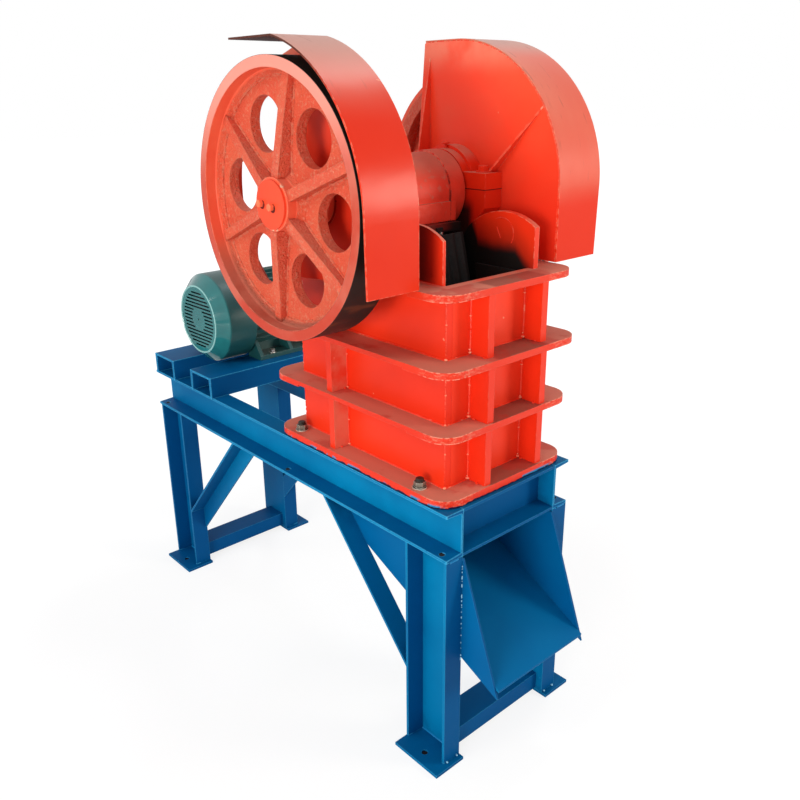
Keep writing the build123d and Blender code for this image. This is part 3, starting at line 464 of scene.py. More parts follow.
def plate_paint(name):
    """A guard's flat plate: hazy above, with painted shade lower down."""
    made = Finish(name, colour(255, 72, 40), 0.36)
    made.vary(RED_PALE, 4.0, 0.5)
    # Painted shade: darker towards the bottom.
    low = made.ramp(made.z, 1.60, 1.22)
    made.lay(made.times(low, 0.65), colour(200, 26, 12))
    high = made.ramp(made.noise(7.0, 4.0), 0.3, 0.7)
    high = made.times(high, made.ramp(made.z, 1.59, 1.675))
    made.lay(made.times(high, 0.75), colour(246, 150, 122), 0.5)
    made.dirt_and_shade_in_corners(RED_DEEP, 0.05, 0.6)
    made.worn(RED_WORN, 0.0022, 0.85, 0.40)
    made.chipped(RED_WORN, 46.0, 0.765, 0.8)
    made.uneven(6.0, 0.0016)
    return made.done(0.001, specular=0.3)


def cast_paint(name, centre, side, bare_from):
    """Red paint over a rough casting, with the machined rim smooth and its outside bare."""
    made = Finish(name, RED, 0.38)
    made.vary(RED_PALE, 9.0, 0.85)
    made.lay(0.42, colour(254, 134, 100))
    radius = radius_about(made, centre)
    below = made.minus(centre.z * MM, made.z)
    rough = made.ramp(radius, (RIM_INSIDE_R - 1) * MM, (RIM_INSIDE_R - 5) * MM)
    rough = made.times(rough, made.ramp(radius, 0.0585, 0.0605))
    grain = made.noise(150.0, 4.0, roughness=0.7)
    # Pale flecks on the rough grain of the casting: painted highlights.
    flecks = made.times(made.ramp(grain, 0.53, 0.66), rough)
    made.lay(made.times(flecks, 0.8), RED_WORN, 0.26)
    well = made.times(made.ramp(radius, 0.262, 0.270), made.ramp(radius, 0.279, 0.277))
    settled = made.times(well, made.ramp(below, 0.06, 0.20))
    made.lay(made.times(settled, 0.75), BROWN_DUST, 0.7)
    made.dusty(RED_DUST, 0.45, 0.3, 0.9)
    made.dirt_and_shade_in_corners(RED_DEEP, 0.022, 0.6)
    outward = made.ramp(made.times(made.facing[0], side), 0.6, 0.8)
    face = made.ramp(radius, (RIM_INSIDE_R - 0.5) * MM, (RIM_INSIDE_R + 0.5) * MM)
    face = made.times(face, outward)
    made.lay(made.times(face, 0.85), colour(176, 48, 28), 0.5)
    dull = made.times(face, made.ramp(made.noise(6.0, 4.0), 0.42, 0.62))
    made.lay(made.times(dull, 0.35), RED_DUST)
    # Paler towards the back and over the upper part of the rim's face: painted light.
    behind = made.times(face, made.ramp(made.y, -0.16, 0.02))
    made.lay(made.times(behind, 0.12), colour(232, 146, 128))
    lit = made.times(face, made.ramp(below, -0.02, -0.24))
    made.lay(made.times(lit, 0.85), colour(238, 154, 138), 0.45)
    made.worn(RED_WORN, 0.003, 0.6, 0.42)
    made.rise(made.times(grain, rough), 0.0105)
    made.uneven(420.0, 0.00005)
    if bare_from is not None:
        outside = made.ramp(radius, (bare_from - 0.8) * MM, (bare_from - 0.3) * MM)
        made.lay(outside, BLACK_IRON, 0.5)
        streaks = made.ramp(made.noise(24.0, 4.0, (0.4, 1.0, 1.0)), 0.55, 0.70)
        low = made.ramp(below, 0.10, 0.26)
        made.lay(made.times(outside, streaks, low), RUST)
    return made.done(0.004, specular=0.32)


def weld_paint(name, base, pale):
    made = Finish(name, base, 0.35)
    made.vary(pale, 60.0, 0.12)
    made.chipped(pale, 60.0, 0.66, 0.6)
    made.rise(made.noise(220.0, 3.0), 0.0012)
    return made.done(0.0, specular=0.3)


def blue_paint(name, edge_reach, edge, deep=BLUE_DEEP, base=BLUE):
    """Painted shade where it faces ahead or up, towards the back and low down; bright along the edges,
    where the paint is rubbed and, on the beams, a painted highlight.
    """
    made = Finish(name, base, 0.48)
    made.vary(BLUE_DEEP, 2.6, 0.4)
    # Painted shade: darker on faces that look up or ahead, towards the back and low down.
    up = made.times(made.ramp(made.facing[2], 0.7, 0.95), 0.55)
    ahead = made.times(made.ramp(made.facing[1], -0.5, -0.9), 0.85)
    made.lay(made.reckon("MAXIMUM", up, ahead), deep)
    made.lay(made.times(made.ramp(made.y, -0.15, 0.55), 0.4), BLUE_DEEP)
    low = made.ramp(made.z, BEAM_BOTTOM * MM, 0.30)
    made.lay(made.times(low, 0.35), BLUE_DEEP)
    made.dirt_and_shade_in_corners(BLUE_SHADE, 0.08, 0.9)
    made.worn(BLUE_WORN, edge_reach, edge, 0.26)
    made.chipped(BLUE_WORN, 34.0, 0.775, 0.7)
    made.uneven(8.0, 0.0010)
    made.uneven(380.0, 0.00005)
    return made.done(specular=0.06)


def teal_paint(name):
    made = Finish(name, TEAL, 0.1)
    made.vary(TEAL_DEEP, 6.0, 0.4)
    # Darker on the cowl's side and the motor behind its face: dirt and painted shade.
    drum = made.ramp(made.x, -0.118, -0.108)
    made.lay(made.times(drum, 0.8), colour(22, 60, 62), 0.4)
    # A pale ring round the edge of the face: worn paint and a painted highlight.
    lip = made.ramp(radius_about(made, MOTOR), 0.100, 0.1025)
    lip = made.times(lip, made.ramp(made.x, (COWL["end"] - 0.1) * MM, (COWL["end"] - 0.9) * MM))
    made.lay(made.times(lip, 0.8), colour(150, 206, 204))
    made.dusty(GREY_DUST, 0.15)
    made.dirt_and_shade_in_corners(TEAL_DEEP, 0.02, 0.7)
    made.worn(TEAL_WORN, 0.0015, 0.4, 0.5)
    made.uneven(9.0, 0.0010)
    return made.done(0.0015, specular=0.5)


def iron(name, base, worn, roughness, rough_step, dust=0.25):
    made = Finish(name, base, roughness)
    made.vary(GRIME, 12.0, 0.5)
    made.dusty(GREY_DUST, dust)
    made.worn(worn, 0.003, 0.5)
    made.rise(made.noise(110.0, 3.0), rough_step)
    return made.done(specular=0.3)


def steel(name, base=STEEL, roughness=0.32):
    made = Finish(name, base, roughness, metallic=0.9)
    made.vary(IRON_WORN, 60.0, 0.5)
    made.dirt_and_shade_in_corners(GRIME, 0.006, 0.7)
    made.uneven(300.0, 0.0001)
    return made.done(0.0006)


def anchor_steel(name, foot):
    """Weathered nuts: dark on top and at the foot, bright along the edges."""
    made = Finish(name, colour(128, 124, 112), 0.4, metallic=0.35)
    made.vary(colour(92, 86, 74), 90.0, 0.6)
    made.lay(made.times(made.ramp(made.facing[2], 0.5, 0.8), 0.85), colour(38, 32, 26), 0.6)
    above = made.minus(made.z, foot * MM)
    ground = made.times(made.ramp(above, 0.0026, 0.0034), made.ramp(above, 0.0085, 0.0050))
    made.lay(made.times(ground, 0.9), colour(24, 20, 16), 0.7)
    made.lay(made.ramp(above, 0.0175, 0.0185), colour(46, 42, 36), 0.5)
    bright = made.times(made.ramp(made.edges(0.003), 0.16, 0.4), made.ramp(above, 0.017, 0.0165))
    made.lay(bright, colour(206, 202, 188), 0.35)
    return made.done(0.0006)


def rubber(name):
    made = Finish(name, RUBBER, 0.6)
    made.vary(IRON, 20.0, 0.5)
    made.dusty(GREY_DUST, 0.3)
    made.uneven(500.0, 0.0002)
    return made.done(0.0006)


def barrel_paint(name):
    """The swing jaw's head: oily dust over a lighter red that is painted light, with a seam at the
    collars, dirty below and a painted highlight above.
    """
    made = Finish(name, colour(250, 76, 52), 0.42)
    made.vary(RED_DEEP, 6.0, 0.5)
    made.dusty(colour(206, 112, 90), 0.9, 0.2, 0.85, 0.15)
    across = made.size(made.x)
    seam = made.ramp(made.size(made.minus(across, 0.101)), 0.0016, 0.0006)
    seam = made.times(seam, made.ramp(made.noise(60.0), 0.36, 0.56))
    # The seam's upper part is a painted highlight, its lower part dirt.
    tone = made.blend(made.ramp(made.z, 1.376, 1.392), colour(140, 56, 42), colour(240, 140, 116))
    made.lay(made.times(seam, 0.85), tone)
    made.worn(RED_WORN, 0.003, 0.35, 0.52)
    mottled = made.ramp(made.noise(48.0, 5.0), 0.56, 0.66)
    mottled = made.times(mottled, made.ramp(across, 0.105, 0.095))
    front = made.ramp(made.y, -0.32, -0.345)
    made.lay(made.times(mottled, front, 0.55), colour(214, 122, 98))
    below = made.ramp(made.z, (BARREL_Z - 66) * MM, (BARREL_Z - 74) * MM)
    made.lay(below, BLACK_PAINT, 0.55)
    made.rise(made.noise(70.0, 4.0), 0.0014)
    return made.done(0.003, specular=0.3)


def wedge_paint(name):
    """Dark red under the barrel as painted shade, going black along the foot and towards the far end."""
    made = Finish(name, colour(116, 30, 24), 0.5)
    made.vary(BROWN_DUST, 14.0, 0.4)
    made.lay(made.ramp(made.x, 0.045, 0.095), BLACK_PAINT)
    made.lay(made.ramp(made.z, (BARREL_Z - 77) * MM, (BARREL_Z - 84) * MM), BLACK_PAINT)
    return made.done(specular=0.2)


MATERIALS = {
    "red_paint": red_paint("red_paint"),
    "wheel_paint": cast_paint("wheel_paint", SHAFT, -1, WHEEL_R),
    "blue_paint": blue_paint("blue_paint", 0.0022, 0.45),
    "teal_paint": teal_paint("teal_paint"),
    "liner_iron": iron("liner_iron", colour(24, 22, 21), IRON_WORN, 0.55, 0.0010, 0.1),
    "dark_iron": iron("dark_iron", IRON, IRON_WORN, 0.45, 0.0006),
    "shaft_steel": steel("shaft_steel"),
    "belt_rubber": rubber("belt_rubber"),
}
BOLT_STEEL = steel("bolt_steel", colour(196, 194, 184), 0.34)
ANCHOR_STEEL = anchor_steel("anchor_steel", RING_TOPS[0])
# The hub bolts' heads: a paler red, worn paint and a painted highlight.
BOLT_PAINT_WORN_AND_LIT = weld_paint("bolt_paint_worn_and_lit", colour(255, 116, 76), colour(255, 196, 164))
TACK = iron("bare_tack", colour(246, 214, 176), RED_WORN, 0.5, 0.0004, 0.0)
ZINC = steel("zinc", colour(205, 205, 200), 0.25)
# Black for the wedge's lugs, and painted shade for the bolt holes.
BLACK_LUG_AND_HOLE_SHADE = iron("lug_black_and_hole_shade", colour(6, 9, 14), IRON, 0.8, 0.0002, 0.0)
WELD_RED = weld_paint("weld_red", colour(238, 56, 24), RED_WORN)
WELD_PALE = weld_paint("weld_pale", colour(252, 150, 116), colour(255, 214, 184))
WELD_BLUE = weld_paint("weld_blue", colour(0, 120, 180), BLUE_WORN)
WELD_SKY = weld_paint("weld_sky", colour(140, 200, 228), colour(214, 236, 246))
FAN_SHADE = weld_paint("fan_shade", colour(2, 38, 44), colour(12, 62, 68))
SMOOTH_RED = red_paint("smooth_red", 0.2, 0.35)
# Dark red for the joints of the bearing caps and for the painted shadows beside the hub bolts.
DARK_JOINT_AND_SHADOW = iron("dark_joint_and_shadow", colour(120, 22, 12), GRIME, 0.8, 0.0002, 0.0)
# The beams and rails: their bright edges are rubbed paint and a painted highlight.
BEAM_PAINT = blue_paint("beam_paint", 0.0045, 0.85)
# The walls: a lighter red than the rest of the box, painted light.
LIT_WALL_PAINT = red_paint("lit_wall_paint", 0.92, 0.0, colour(255, 70, 36))
PLATE_PAINT = plate_paint("plate_paint")
RING_PAINT = ring_paint("ring_paint", False)
OWN = {
    "ring_base": ring_paint("ring_base_paint", True),
    "ring_lower": RING_PAINT,
    "ring_upper": RING_PAINT,
    "ring_top": RING_PAINT,
    "guard_plate_left": PLATE_PAINT,
    "guard_plate_right": PLATE_PAINT,
    "belt_pulley": cast_paint("pulley_paint", SHAFT, 1, None),
    "swing_jaw": barrel_paint("barrel_paint"),
    "shaft_end_caps": red_paint("cap_paint", 0.2, 0.35, colour(250, 86, 52)),
    "guard_band_left": guard_paint("guard_left_paint", GUARDS["left"], 0.50, 0.68),
    # On the right guard the dust reaches far down the front: dust and painted sheen.
    "guard_band_right": guard_paint("guard_right_paint", GUARDS["right"], -0.9, 0.84),
    "bearing_blocks": block_paint("block_paint"),
    "beam_left": BEAM_PAINT,
    "beam_right": BEAM_PAINT,
    "motor_rails": BEAM_PAINT,
    "chute_floor": blue_paint("chute_paint", 0.0015, 0.3, colour(0, 92, 152)),
    "chute_sides": blue_paint("chute_side_paint", 0.0015, 0.3, BLUE_DEEP, colour(0, 102, 160)),
    "ribs": rib_paint("rib_paint"),
    "front_wall": LIT_WALL_PAINT,
    "rear_wall": LIT_WALL_PAINT,
    "cheek_plates": iron("cheek_iron", colour(20, 18, 17), IRON, 0.6, 0.0006, 0.0),
    "fixed_jaw_plate": iron("jaw_iron", colour(20, 18, 17), IRON, 0.6, 0.0010, 0.0),
    "side_plate_left": cheek_paint("cheek_left", -1),
    "side_plate_right": cheek_paint("cheek_right", 1),
    "jaw_wedge": wedge_paint("wedge_paint"),
}

for node, owner in NODES.items():
    owner.data.materials.clear()
    owner.data.materials.append(OWN.get(node, MATERIALS[SLOT_OF[node]]))


# Pieces

def settle(name, mesh, material, body="frame"):
    """Turns a bmesh in millimetres into an object that rides on a body."""
    bmesh.ops.scale(mesh, vec=(MM, MM, MM), verts=mesh.verts)
    bmesh.ops.recalc_face_normals(mesh, faces=mesh.faces)
    data = bpy.data.meshes.new(name)
    mesh.to_mesh(data)
    mesh.free()
    data.shade_smooth()
    data.set_sharp_from_angle(angle=math.radians(35))
    made = bpy.data.objects.new(name, data)
    bpy.context.scene.collection.objects.link(made)
    data.materials.append(material)
    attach(made, body)
    return made


def pose(at, along=(0, 0, 1), turn=0.0):
    """A matrix that puts local Z along a direction, at a place in millimetres."""
    rotation = Vector((0, 0, 1)).rotation_difference(Vector(along)).to_matrix().to_4x4()
    return Matrix.Translation(Vector(at)) @ rotation @ Matrix.Rotation(math.radians(turn), 4, "Z")


def revolve(mesh, profile, sides, where):
    """Turns (radius, height) pairs about local Z; a radius of 0 closes to a point."""
    rows = []
    for radius, height in profile:
        count = 1 if radius == 0 else sides
        row = []
        for k in range(count):
            angle = 2 * math.pi * k / sides
            place = Vector((radius * math.cos(angle), radius * math.sin(angle), height))
            row.append(mesh.verts.new(where @ place))
        rows.append(row)
    for low, high in zip(rows, rows[1:]):
        for k in range(sides):
            after = k + 1
            corners = [low[k % len(low)], low[after % len(low)]]
            corners += [high[after % len(high)], high[k % len(high)]]
            unique = list(dict.fromkeys(corners))
            if len(unique) > 2:
                mesh.faces.new(unique)


def hexagon(mesh, across, low, high, where):
    """A hexagon head or nut: six flats with the corners of its top turned down."""
    corner = across / math.sqrt(3)
    cut = across * 0.06
    profile = [(0, low), (corner, low), (corner, high - cut), (across * 0.48, high), (0, high)]
    revolve(mesh, profile, 6, where)


def fastener(mesh, at, along, across, head=None, washer=None, stud=0.0, turn=0.0, thread=0.32):
    """A hexagon over a washer, with the thread showing beyond it where there is a stud."""
    where = pose(at, along, turn)
    head = across * 0.62 if head is None else head
    base = 0.0
    if washer:
        base = across * 0.12
        rim = washer * 0.98
        profile = [(0, 0), (rim, 0), (washer, 0.4), (washer, base - 0.4), (rim, base), (0, base)]
        revolve(mesh, profile, 24, where)
    hexagon(mesh, across, base, base + head, where)
    if stud:
        radius = across * thread
        profile = [(0, base + head - 1)]
        height = base + head - 1
        while height < base + head + stud - 2:
            profile += [(radius * 0.9, height), (radius, height + 0.9)]
            height += 1.8
        profile += [(radius * 0.85, base + head + stud), (0, base + head + stud)]
        revolve(mesh, profile, 16, where)


def bead(mesh, points, radius, seed, gap=0.0, sides=6):
    """A run of weld along a line: a round bar with ripples, sunk into the corner it fills."""
    noise = random.Random(seed)
    for first, second in zip(points, points[1:]):
        first, second = Vector(first), Vector(second)
        length = (second - first).length
        along = (second - first) / length
        turn = Vector((0, 0, 1)).rotation_difference(along).to_matrix()
        steps = max(2, int(length / (radius * 1.1)))
        rows = []
        for k in range(steps + 1):
            if gap and noise.random() < gap:
                rows.append(None)
                continue
            ends = 0.35 if k in (0, steps) else 1.0
            size = radius * ends * (0.82 + 0.14 * (k % 2) + 0.16 * noise.random())
            middle = first + along * length * k / steps
            middle += turn @ Vector((noise.uniform(-1, 1), noise.uniform(-1, 1), 0)) * radius * 0.14
            row = []
            for side in range(sides):
                angle = 2 * math.pi * side / sides
                out = turn @ Vector((math.cos(angle), math.sin(angle), 0))
                row.append(mesh.verts.new(middle + out * size))
            rows.append(row)
        for low, high in zip(rows, rows[1:]):
            if low is None or high is None:
                continue
            for side in range(sides):
                after = (side + 1) % sides
                mesh.faces.new([low[side], low[after], high[after], high[side]])
        for row, inner in ((rows[0], rows[1]), (rows[-1], rows[-2])):
            if row is not None and inner is not None:
                mesh.faces.new(row)
    loose = [vert for vert in mesh.verts if not vert.link_faces]
    bmesh.ops.delete(mesh, geom=loose, context="VERTS")


def strip(mesh, places, low, high):
    """A thin band that stands upright along a line of (x, y) places."""
    rows = [[mesh.verts.new((x, y, z)) for z in (low, high)] for x, y in places]
    for first, second in zip(rows, rows[1:]):
        mesh.faces.new([first[0], second[0], second[1], first[1]])


def blob(mesh, at, size, noise):
    """A spatter or tack of weld: a flattened, uneven lump."""
    wide, deep, high = noise.uniform(0.7, 1.3), noise.uniform(0.7, 1.3), noise.uniform(0.5, 0.8)
    where = Matrix.Translation(at) @ Matrix.Diagonal((wide, deep, high, 1.0))
    made = bmesh.ops.create_icosphere(mesh, subdivisions=2, radius=size, matrix=where)
    for vert in made["verts"]:
        push = Vector((noise.uniform(-1, 1), noise.uniform(-1, 1), noise.uniform(-1, 1)))
        vert.co += push * size * 0.08


def arc(centre, radius, start, end, x, count=40):
    """Points on a circle in the YZ plane; angles in degrees from +Y towards +Z."""
    points = []
    for k in range(count + 1):
        angle = math.radians(start + (end - start) * k / count)
        points.append((x, centre.y + radius * math.cos(angle), centre.z + radius * math.sin(angle)))
    return points


# Anchor bolts through the base ring

mesh = bmesh.new()
for side in (-1, 1):
    for x, y, turn in ANCHORS:
        fastener(mesh, (side * x, y, RING_TOPS[0]), (0, 0, 1), 25.0, head=14.0, washer=17.5, stud=7.0,
                 turn=turn, thread=0.40)
settle("anchor_bolts", mesh, ANCHOR_STEEL)

# Bearing cap bolts, painted over, and a grease cup on each cap

mesh = bmesh.new()
for side in (-1, 1):
    for ahead in (-1, 1):
        place = (side * BEARING_BOLT_X, SHAFT.y + ahead * BEARING_BOLT_Y, SHAFT.z + CAP_EAR_RISE)
        fastener(mesh, place, (0, 0, 1), 24.0, head=13.0, washer=19.0, turn=18.0 * ahead + 7.0)
    x, y, z = GREASE_CUP
    cup = pose((side * x, SHAFT.y + y, SHAFT.z + z))
    profile = [(0, -2), (6.5, -2), (6.5, 6), (3.6, 7), (3.6, 15)]
    profile += [(9.6, 16), (10.2, 18.5), (6.0, 21.5), (0, 22)]
    revolve(mesh, profile, 20, cup)
settle("bearing_bolts", mesh, SMOOTH_RED)

# The joint between each bearing block and its cap: a dark line all round

mesh = bmesh.new()
for side in (-1, 1):
    for ahead in (-1, 1):
        low_x, high_x = [side * x for x in BLOCK_X]
        near, far = [SHAFT.y + ahead * y for y in BLOCK_Y]
        places = [(low_x, near), (low_x, far), (high_x, far), (high_x, near)]
        strip(mesh, places, SHAFT.z - 1.0, SHAFT.z + 1.0)
settle("cap_joints", mesh, DARK_JOINT_AND_SHADOW)

# Two small bolts, each with a dark disc as its painted shadow, and a few bare tacks of weld on each hub

mesh = bmesh.new()
tacks = bmesh.new()
shades = bmesh.new()
noise = random.Random(8)
hub_bolts = ((33.0, 0.5), (-7.5, -4.5))
hub_tacks = ((134, 4.6), (130, 3.2), (-35, 3.0), (-88, 3.2), (-104, 3.4))
for side in (-1, 1):
    for y, z in hub_bolts:
        place = (side * CAP_FACE_X, SHAFT.y + y, SHAFT.z + z)
        fastener(mesh, place, (side, 0, 0), 15.0, head=10.0, turn=y)
        # A dark disc set off below each bolt: its painted shadow.
        where = pose((side * CAP_FACE_X, SHAFT.y + y - 2.0, SHAFT.z + z - 2.5), (side, 0, 0))
        revolve(shades, [(0, 0), (9.8, 0), (9.8, 0.6), (9.0, 1.2), (0, 1.2)], 20, where)
    for turn, size in hub_tacks:
        angle = math.radians(turn)
        y, z = SHAFT.y + CAP_SEAM_R * math.cos(angle), SHAFT.z + CAP_SEAM_R * math.sin(angle)
        blob(tacks, (side * CAP_BACK_X, y, z), size, noise)
settle("hub_bolts", mesh, BOLT_PAINT_WORN_AND_LIT, body="rotor")
settle("hub_bolt_shadows", shades, DARK_JOINT_AND_SHADOW, body="rotor")
settle("hub_tacks", tacks, TACK, body="rotor")

# Ragged casting ridges on the wheels: beside each rib and round the foot of the rim

mesh = bmesh.new()
for side in (-1, 1):
    outer = RIM_INSIDE_R if side < 0 else PULLEY_INSIDE_R
    for k in range(6):
        angle = math.radians(WHEEL_RIBS_FROM + 60.0 * k)
        along = Vector((0, math.cos(angle), math.sin(angle)))
        across = Vector((0, -math.sin(angle), math.cos(angle)))
        for edge in (-1, 1):
            points = []
            shape = ((60.0, 22.0), (78.0, 15.0), (120.0, 13.0), (180.0, 13.5), (outer - 26.0, 16.0))
            for reach, out in shape:
                place = SHAFT + along * reach + across * edge * out
                points.append((side * (WEB_FACE_X - 0.5), place.y, place.z))
            bead(mesh, points, 3.4, 200 + 7 * k + edge)
    bead(mesh, arc(SHAFT, outer - 13.5, 0, 360, side * (WEB_FACE_X + 0.4), 60), 3.4, 300 + side)
settle("cast_ridges", mesh, MATERIALS["wheel_paint"], body="rotor")

# The wedge's two lugs, each with the bright end of its bolt

mesh = bmesh.new()
lugs = bmesh.new()
front = SHAFT.y - WEDGE_AHEAD
for x in (41.0, -41.0):
    where = pose((x, front + 1.0, BARREL_Z - 83.0), (0, -1, 0), 45.0)
    revolve(lugs, [(0, 0), (15.0, 0), (15.0, 4.0), (13.6, 5.4), (0, 5.4)], 4, where)
    where = pose((x, front - 4.0, BARREL_Z - 86.0), (0, -1, 0.1), 10.0)
    revolve(mesh, [(0, 0), (3.6, 0), (3.6, 6.5), (2.8, 7.4), (0, 7.6)], 14, where)
settle("wedge_lugs", lugs, BLACK_LUG_AND_HOLE_SHADE, body="swing_jaw")
settle("wedge_bolts", mesh, BOLT_STEEL, body="swing_jaw")

# Motor: foot bolts, cowl screws

mesh = bmesh.new()
for x in MOTOR_FOOT_X:
    for side in (-1, 1):
        place = (x, MOTOR.y + side * MOTOR_FOOT_Y, MOTOR_FOOT_TOP)
        fastener(mesh, place, (0, 0, 1), 17.0, head=9.0, washer=12.0, turn=x)
settle("motor_foot_bolts", mesh, ZINC)

mesh = bmesh.new()
for turn in (5.0, 80.0, 185.0, 260.0):
    angle = math.radians(turn)
    out = Vector((0, -math.cos(angle), math.sin(angle)))
    where = pose(Vector((COWL_SCREW_X, MOTOR.y, MOTOR.z)) + out * COWL_SCREW_R, out)
    revolve(mesh, [(0, 0), (5.5, 0), (5.5, 1.2), (4.0, 3.0), (1.4, 3.2), (1.2, 2.0), (0, 2.0)], 16, where)
settle("cowl_screws", mesh, ZINC)

# The fan cowl: a spun sheet bell with sixteen rows of slots round a plain middle

def face_place(u, v):
    """A place on the cowl's face, from its middle: along, then up, turned by the slots' tilt."""
    angle = math.radians(SLOT_TILT)
    y = MOTOR.y + u * math.cos(angle) - v * math.sin(angle)
    z = MOTOR.z + u * math.sin(angle) + v * math.cos(angle)
    return (COWL["end"], y, z)


def loop(mesh, places):
    """A closed ring of edges through places on the cowl's face."""
    corners = [mesh.verts.new(face_place(*place)) for place in places]
    return [mesh.edges.new((one, two)) for one, two in zip(corners, corners[1:] + corners[:1])]


def round_hole(u, v, radius, count=10):
    turns = [2 * math.pi * k / count for k in range(count)]
    return [(u + radius * math.cos(turn), v + radius * math.sin(turn)) for turn in turns]


def slot_hole(low, high, v):
    """A slot with round ends, from low to high along a row."""
    radius = SLOT_HEIGHT / 2
    turns = [math.pi / 2 + math.pi * k / 5 for k in range(6)]
    left = [(low + radius + radius * math.cos(turn), v + radius * math.sin(turn)) for turn in turns]
    right = [(high - radius - radius * math.cos(turn), v - radius * math.sin(turn)) for turn in turns]
    return left + right


def cowl():
    mesh = bmesh.new()
    lip = COWL["face_r"] - 4.0
    rings = loop(mesh, round_hole(0.0, 0.0, lip, 72))
    rings += loop(mesh, round_hole(0.0, 0.0, 3.4))
    for u, v in ((0, 1), (0, -1), (1, 0), (-1, 0)):
        rings += loop(mesh, round_hole(u * COWL_HOLES_R, v * COWL_HOLES_R, 1.7, 8))
    for row in range(SLOT_ROWS):
        v = SLOT_PITCH * (row - (SLOT_ROWS - 1) / 2)
        far = math.sqrt(SLOT_FIELD_R ** 2 - v ** 2)
        if abs(v) > SLOT_HUB_HALF:
            rings += loop(mesh, slot_hole(-far, far, v))
        else:
            near = math.sqrt(SLOT_HUB_R ** 2 - v ** 2)
            rings += loop(mesh, slot_hole(-far, -near, v))
            rings += loop(mesh, slot_hole(near, far, v))
    bmesh.ops.triangle_fill(mesh, use_beauty=True, use_dissolve=False, edges=rings)
    grown = bmesh.ops.extrude_face_region(mesh, geom=mesh.faces[:])
    moved = [item for item in grown["geom"] if isinstance(item, bmesh.types.BMVert)]
    bmesh.ops.translate(mesh, vec=(COWL["sheet"], 0, 0), verts=moved)
    sheet, face_r, outer = COWL["sheet"], COWL["face_r"], COWL["r"]
    length = COWL["rim"] - COWL["end"]
    turn = COWL["shoulder"]
    profile = [(lip - 1.0, 1.6), (lip - 1.0, -0.4), (lip + 0.8, -2.4)]
    profile += [(face_r, -1.8), (face_r + 1.8, 1.0), (outer - 2.4, turn - 2.6), (outer - 0.4, turn + 0.6)]
    profile += [(outer, turn + 4.0), (outer, length - 2.0), (outer + 0.8, length - 1.2)]
    profile += [(outer + 0.8, length), (outer - sheet, length), (outer - sheet, turn + sheet)]
    profile += [(face_r - sheet, sheet + 1.0), (lip - 1.0, sheet + 1.0), (lip - 1.0, 1.6)]
    revolve(mesh, profile, 72, pose((COWL["end"], MOTOR.y, MOTOR.z), (1, 0, 0)))
    return settle("fan_cowl", mesh, MATERIALS["teal_paint"])


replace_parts(cowl(), "motor_fan_cowl")

# The fan's disc behind the slots, dark teal: painted shade seen through the slots

mesh = bmesh.new()
profile = [(0, 0), (40.0, 0), (44.0, 2.0), (94.0, 2.0), (96.0, 3.0), (96.0, 7.0), (0, 7.0)]
revolve(mesh, profile, 48, pose((COWL["end"] + 9.0, MOTOR.y, MOTOR.z), (1, 0, 0)))
settle("fan_disc", mesh, FAN_SHADE)

# Bolt holes in the beam flanges and foot plates: discs painted dark, painted shade where the holes are

mesh = bmesh.new()
for side in (-1, 1):
    for place in BEAM_HOLES_Y:
        where = pose((side * BEAM_HOLE_X, place, BEAM_BOTTOM + 6.0))
        revolve(mesh, [(0, 0), (7.5, 0), (7.5, 2.2), (0, 2.2)], 20, where)
    for place in (-FOOT_Y, FOOT_Y):
        where = pose((side * FOOT_X, place, 0.4))
        revolve(mesh, [(0, 0), (8.2, 0), (8.2, 3.0), (7.4, 3.2), (0, 3.2)], 24, where)
settle("bolt_holes", mesh, BLACK_LUG_AND_HOLE_SHADE)

# Welds on the crusher's box

def rect(x, front, rear, z):
    return [(-x, front, z), (x, front, z), (x, rear, z), (-x, rear, z), (-x, front, z)]


mesh = bmesh.new()
half = RIB_THICK / 2
bays = list(zip(RING_TOPS, RING_TOPS[1:]))
for order, (low, high) in enumerate(bays):
    under = high - RING_THICK
    side_under = high - RING_SIDE_THICK
    for x in (-BODY_X, BODY_X):
        for y in (BODY_FRONT, BODY_REAR):
            bead(mesh, [(x, y, low), (x, y, under)], 1.5, 11 + order, gap=0.22)
        way = math.copysign(1.0, x)
        for edge in (-half, half):
            foot, top = (x + way, SIDE_RIB_Y + edge, low), (x + way, SIDE_RIB_Y + edge, side_under)
            bead(mesh, [foot, top], 1.8, 31 + order)
    for places, y in ((FRONT_RIBS_X, BODY_FRONT - 1), (REAR_RIBS_X, BODY_REAR + 1)):
        for x in places:
            for edge in (-half, half):
                bead(mesh, [(x + edge, y, low), (x + edge, y, under)], 2.6, 51 + order)
    bead(mesh, rect(BODY_X + 1, BODY_FRONT - 1, BODY_REAR + 1, low), 2.6, 71 + order)
settle("body_welds", mesh, WELD_RED)

# Spots of weld where rings and ribs cross

mesh = bmesh.new()
noise = random.Random(5)
for low in RING_TOPS[:3]:
    for x in FRONT_RIBS_X:
        for edge in (-half - 1, half + 1):
            blob(mesh, (x + edge, BODY_FRONT - noise.uniform(2, 50), low + 1), 4.0, noise)
            blob(mesh, (x + edge * 1.02, BODY_FRONT - 2.0, low + noise.uniform(10, 90)), 3.2, noise)
    for side in (-1, 1):
        for edge in (-half - 1, half + 1):
            blob(mesh, (side * (BODY_X + noise.uniform(2, 40)), SIDE_RIB_Y + edge, low + 1), 4.0, noise)
settle("red_spots", mesh, WELD_RED)

# Paler tacks at the feet of the ribs and the corners of the box

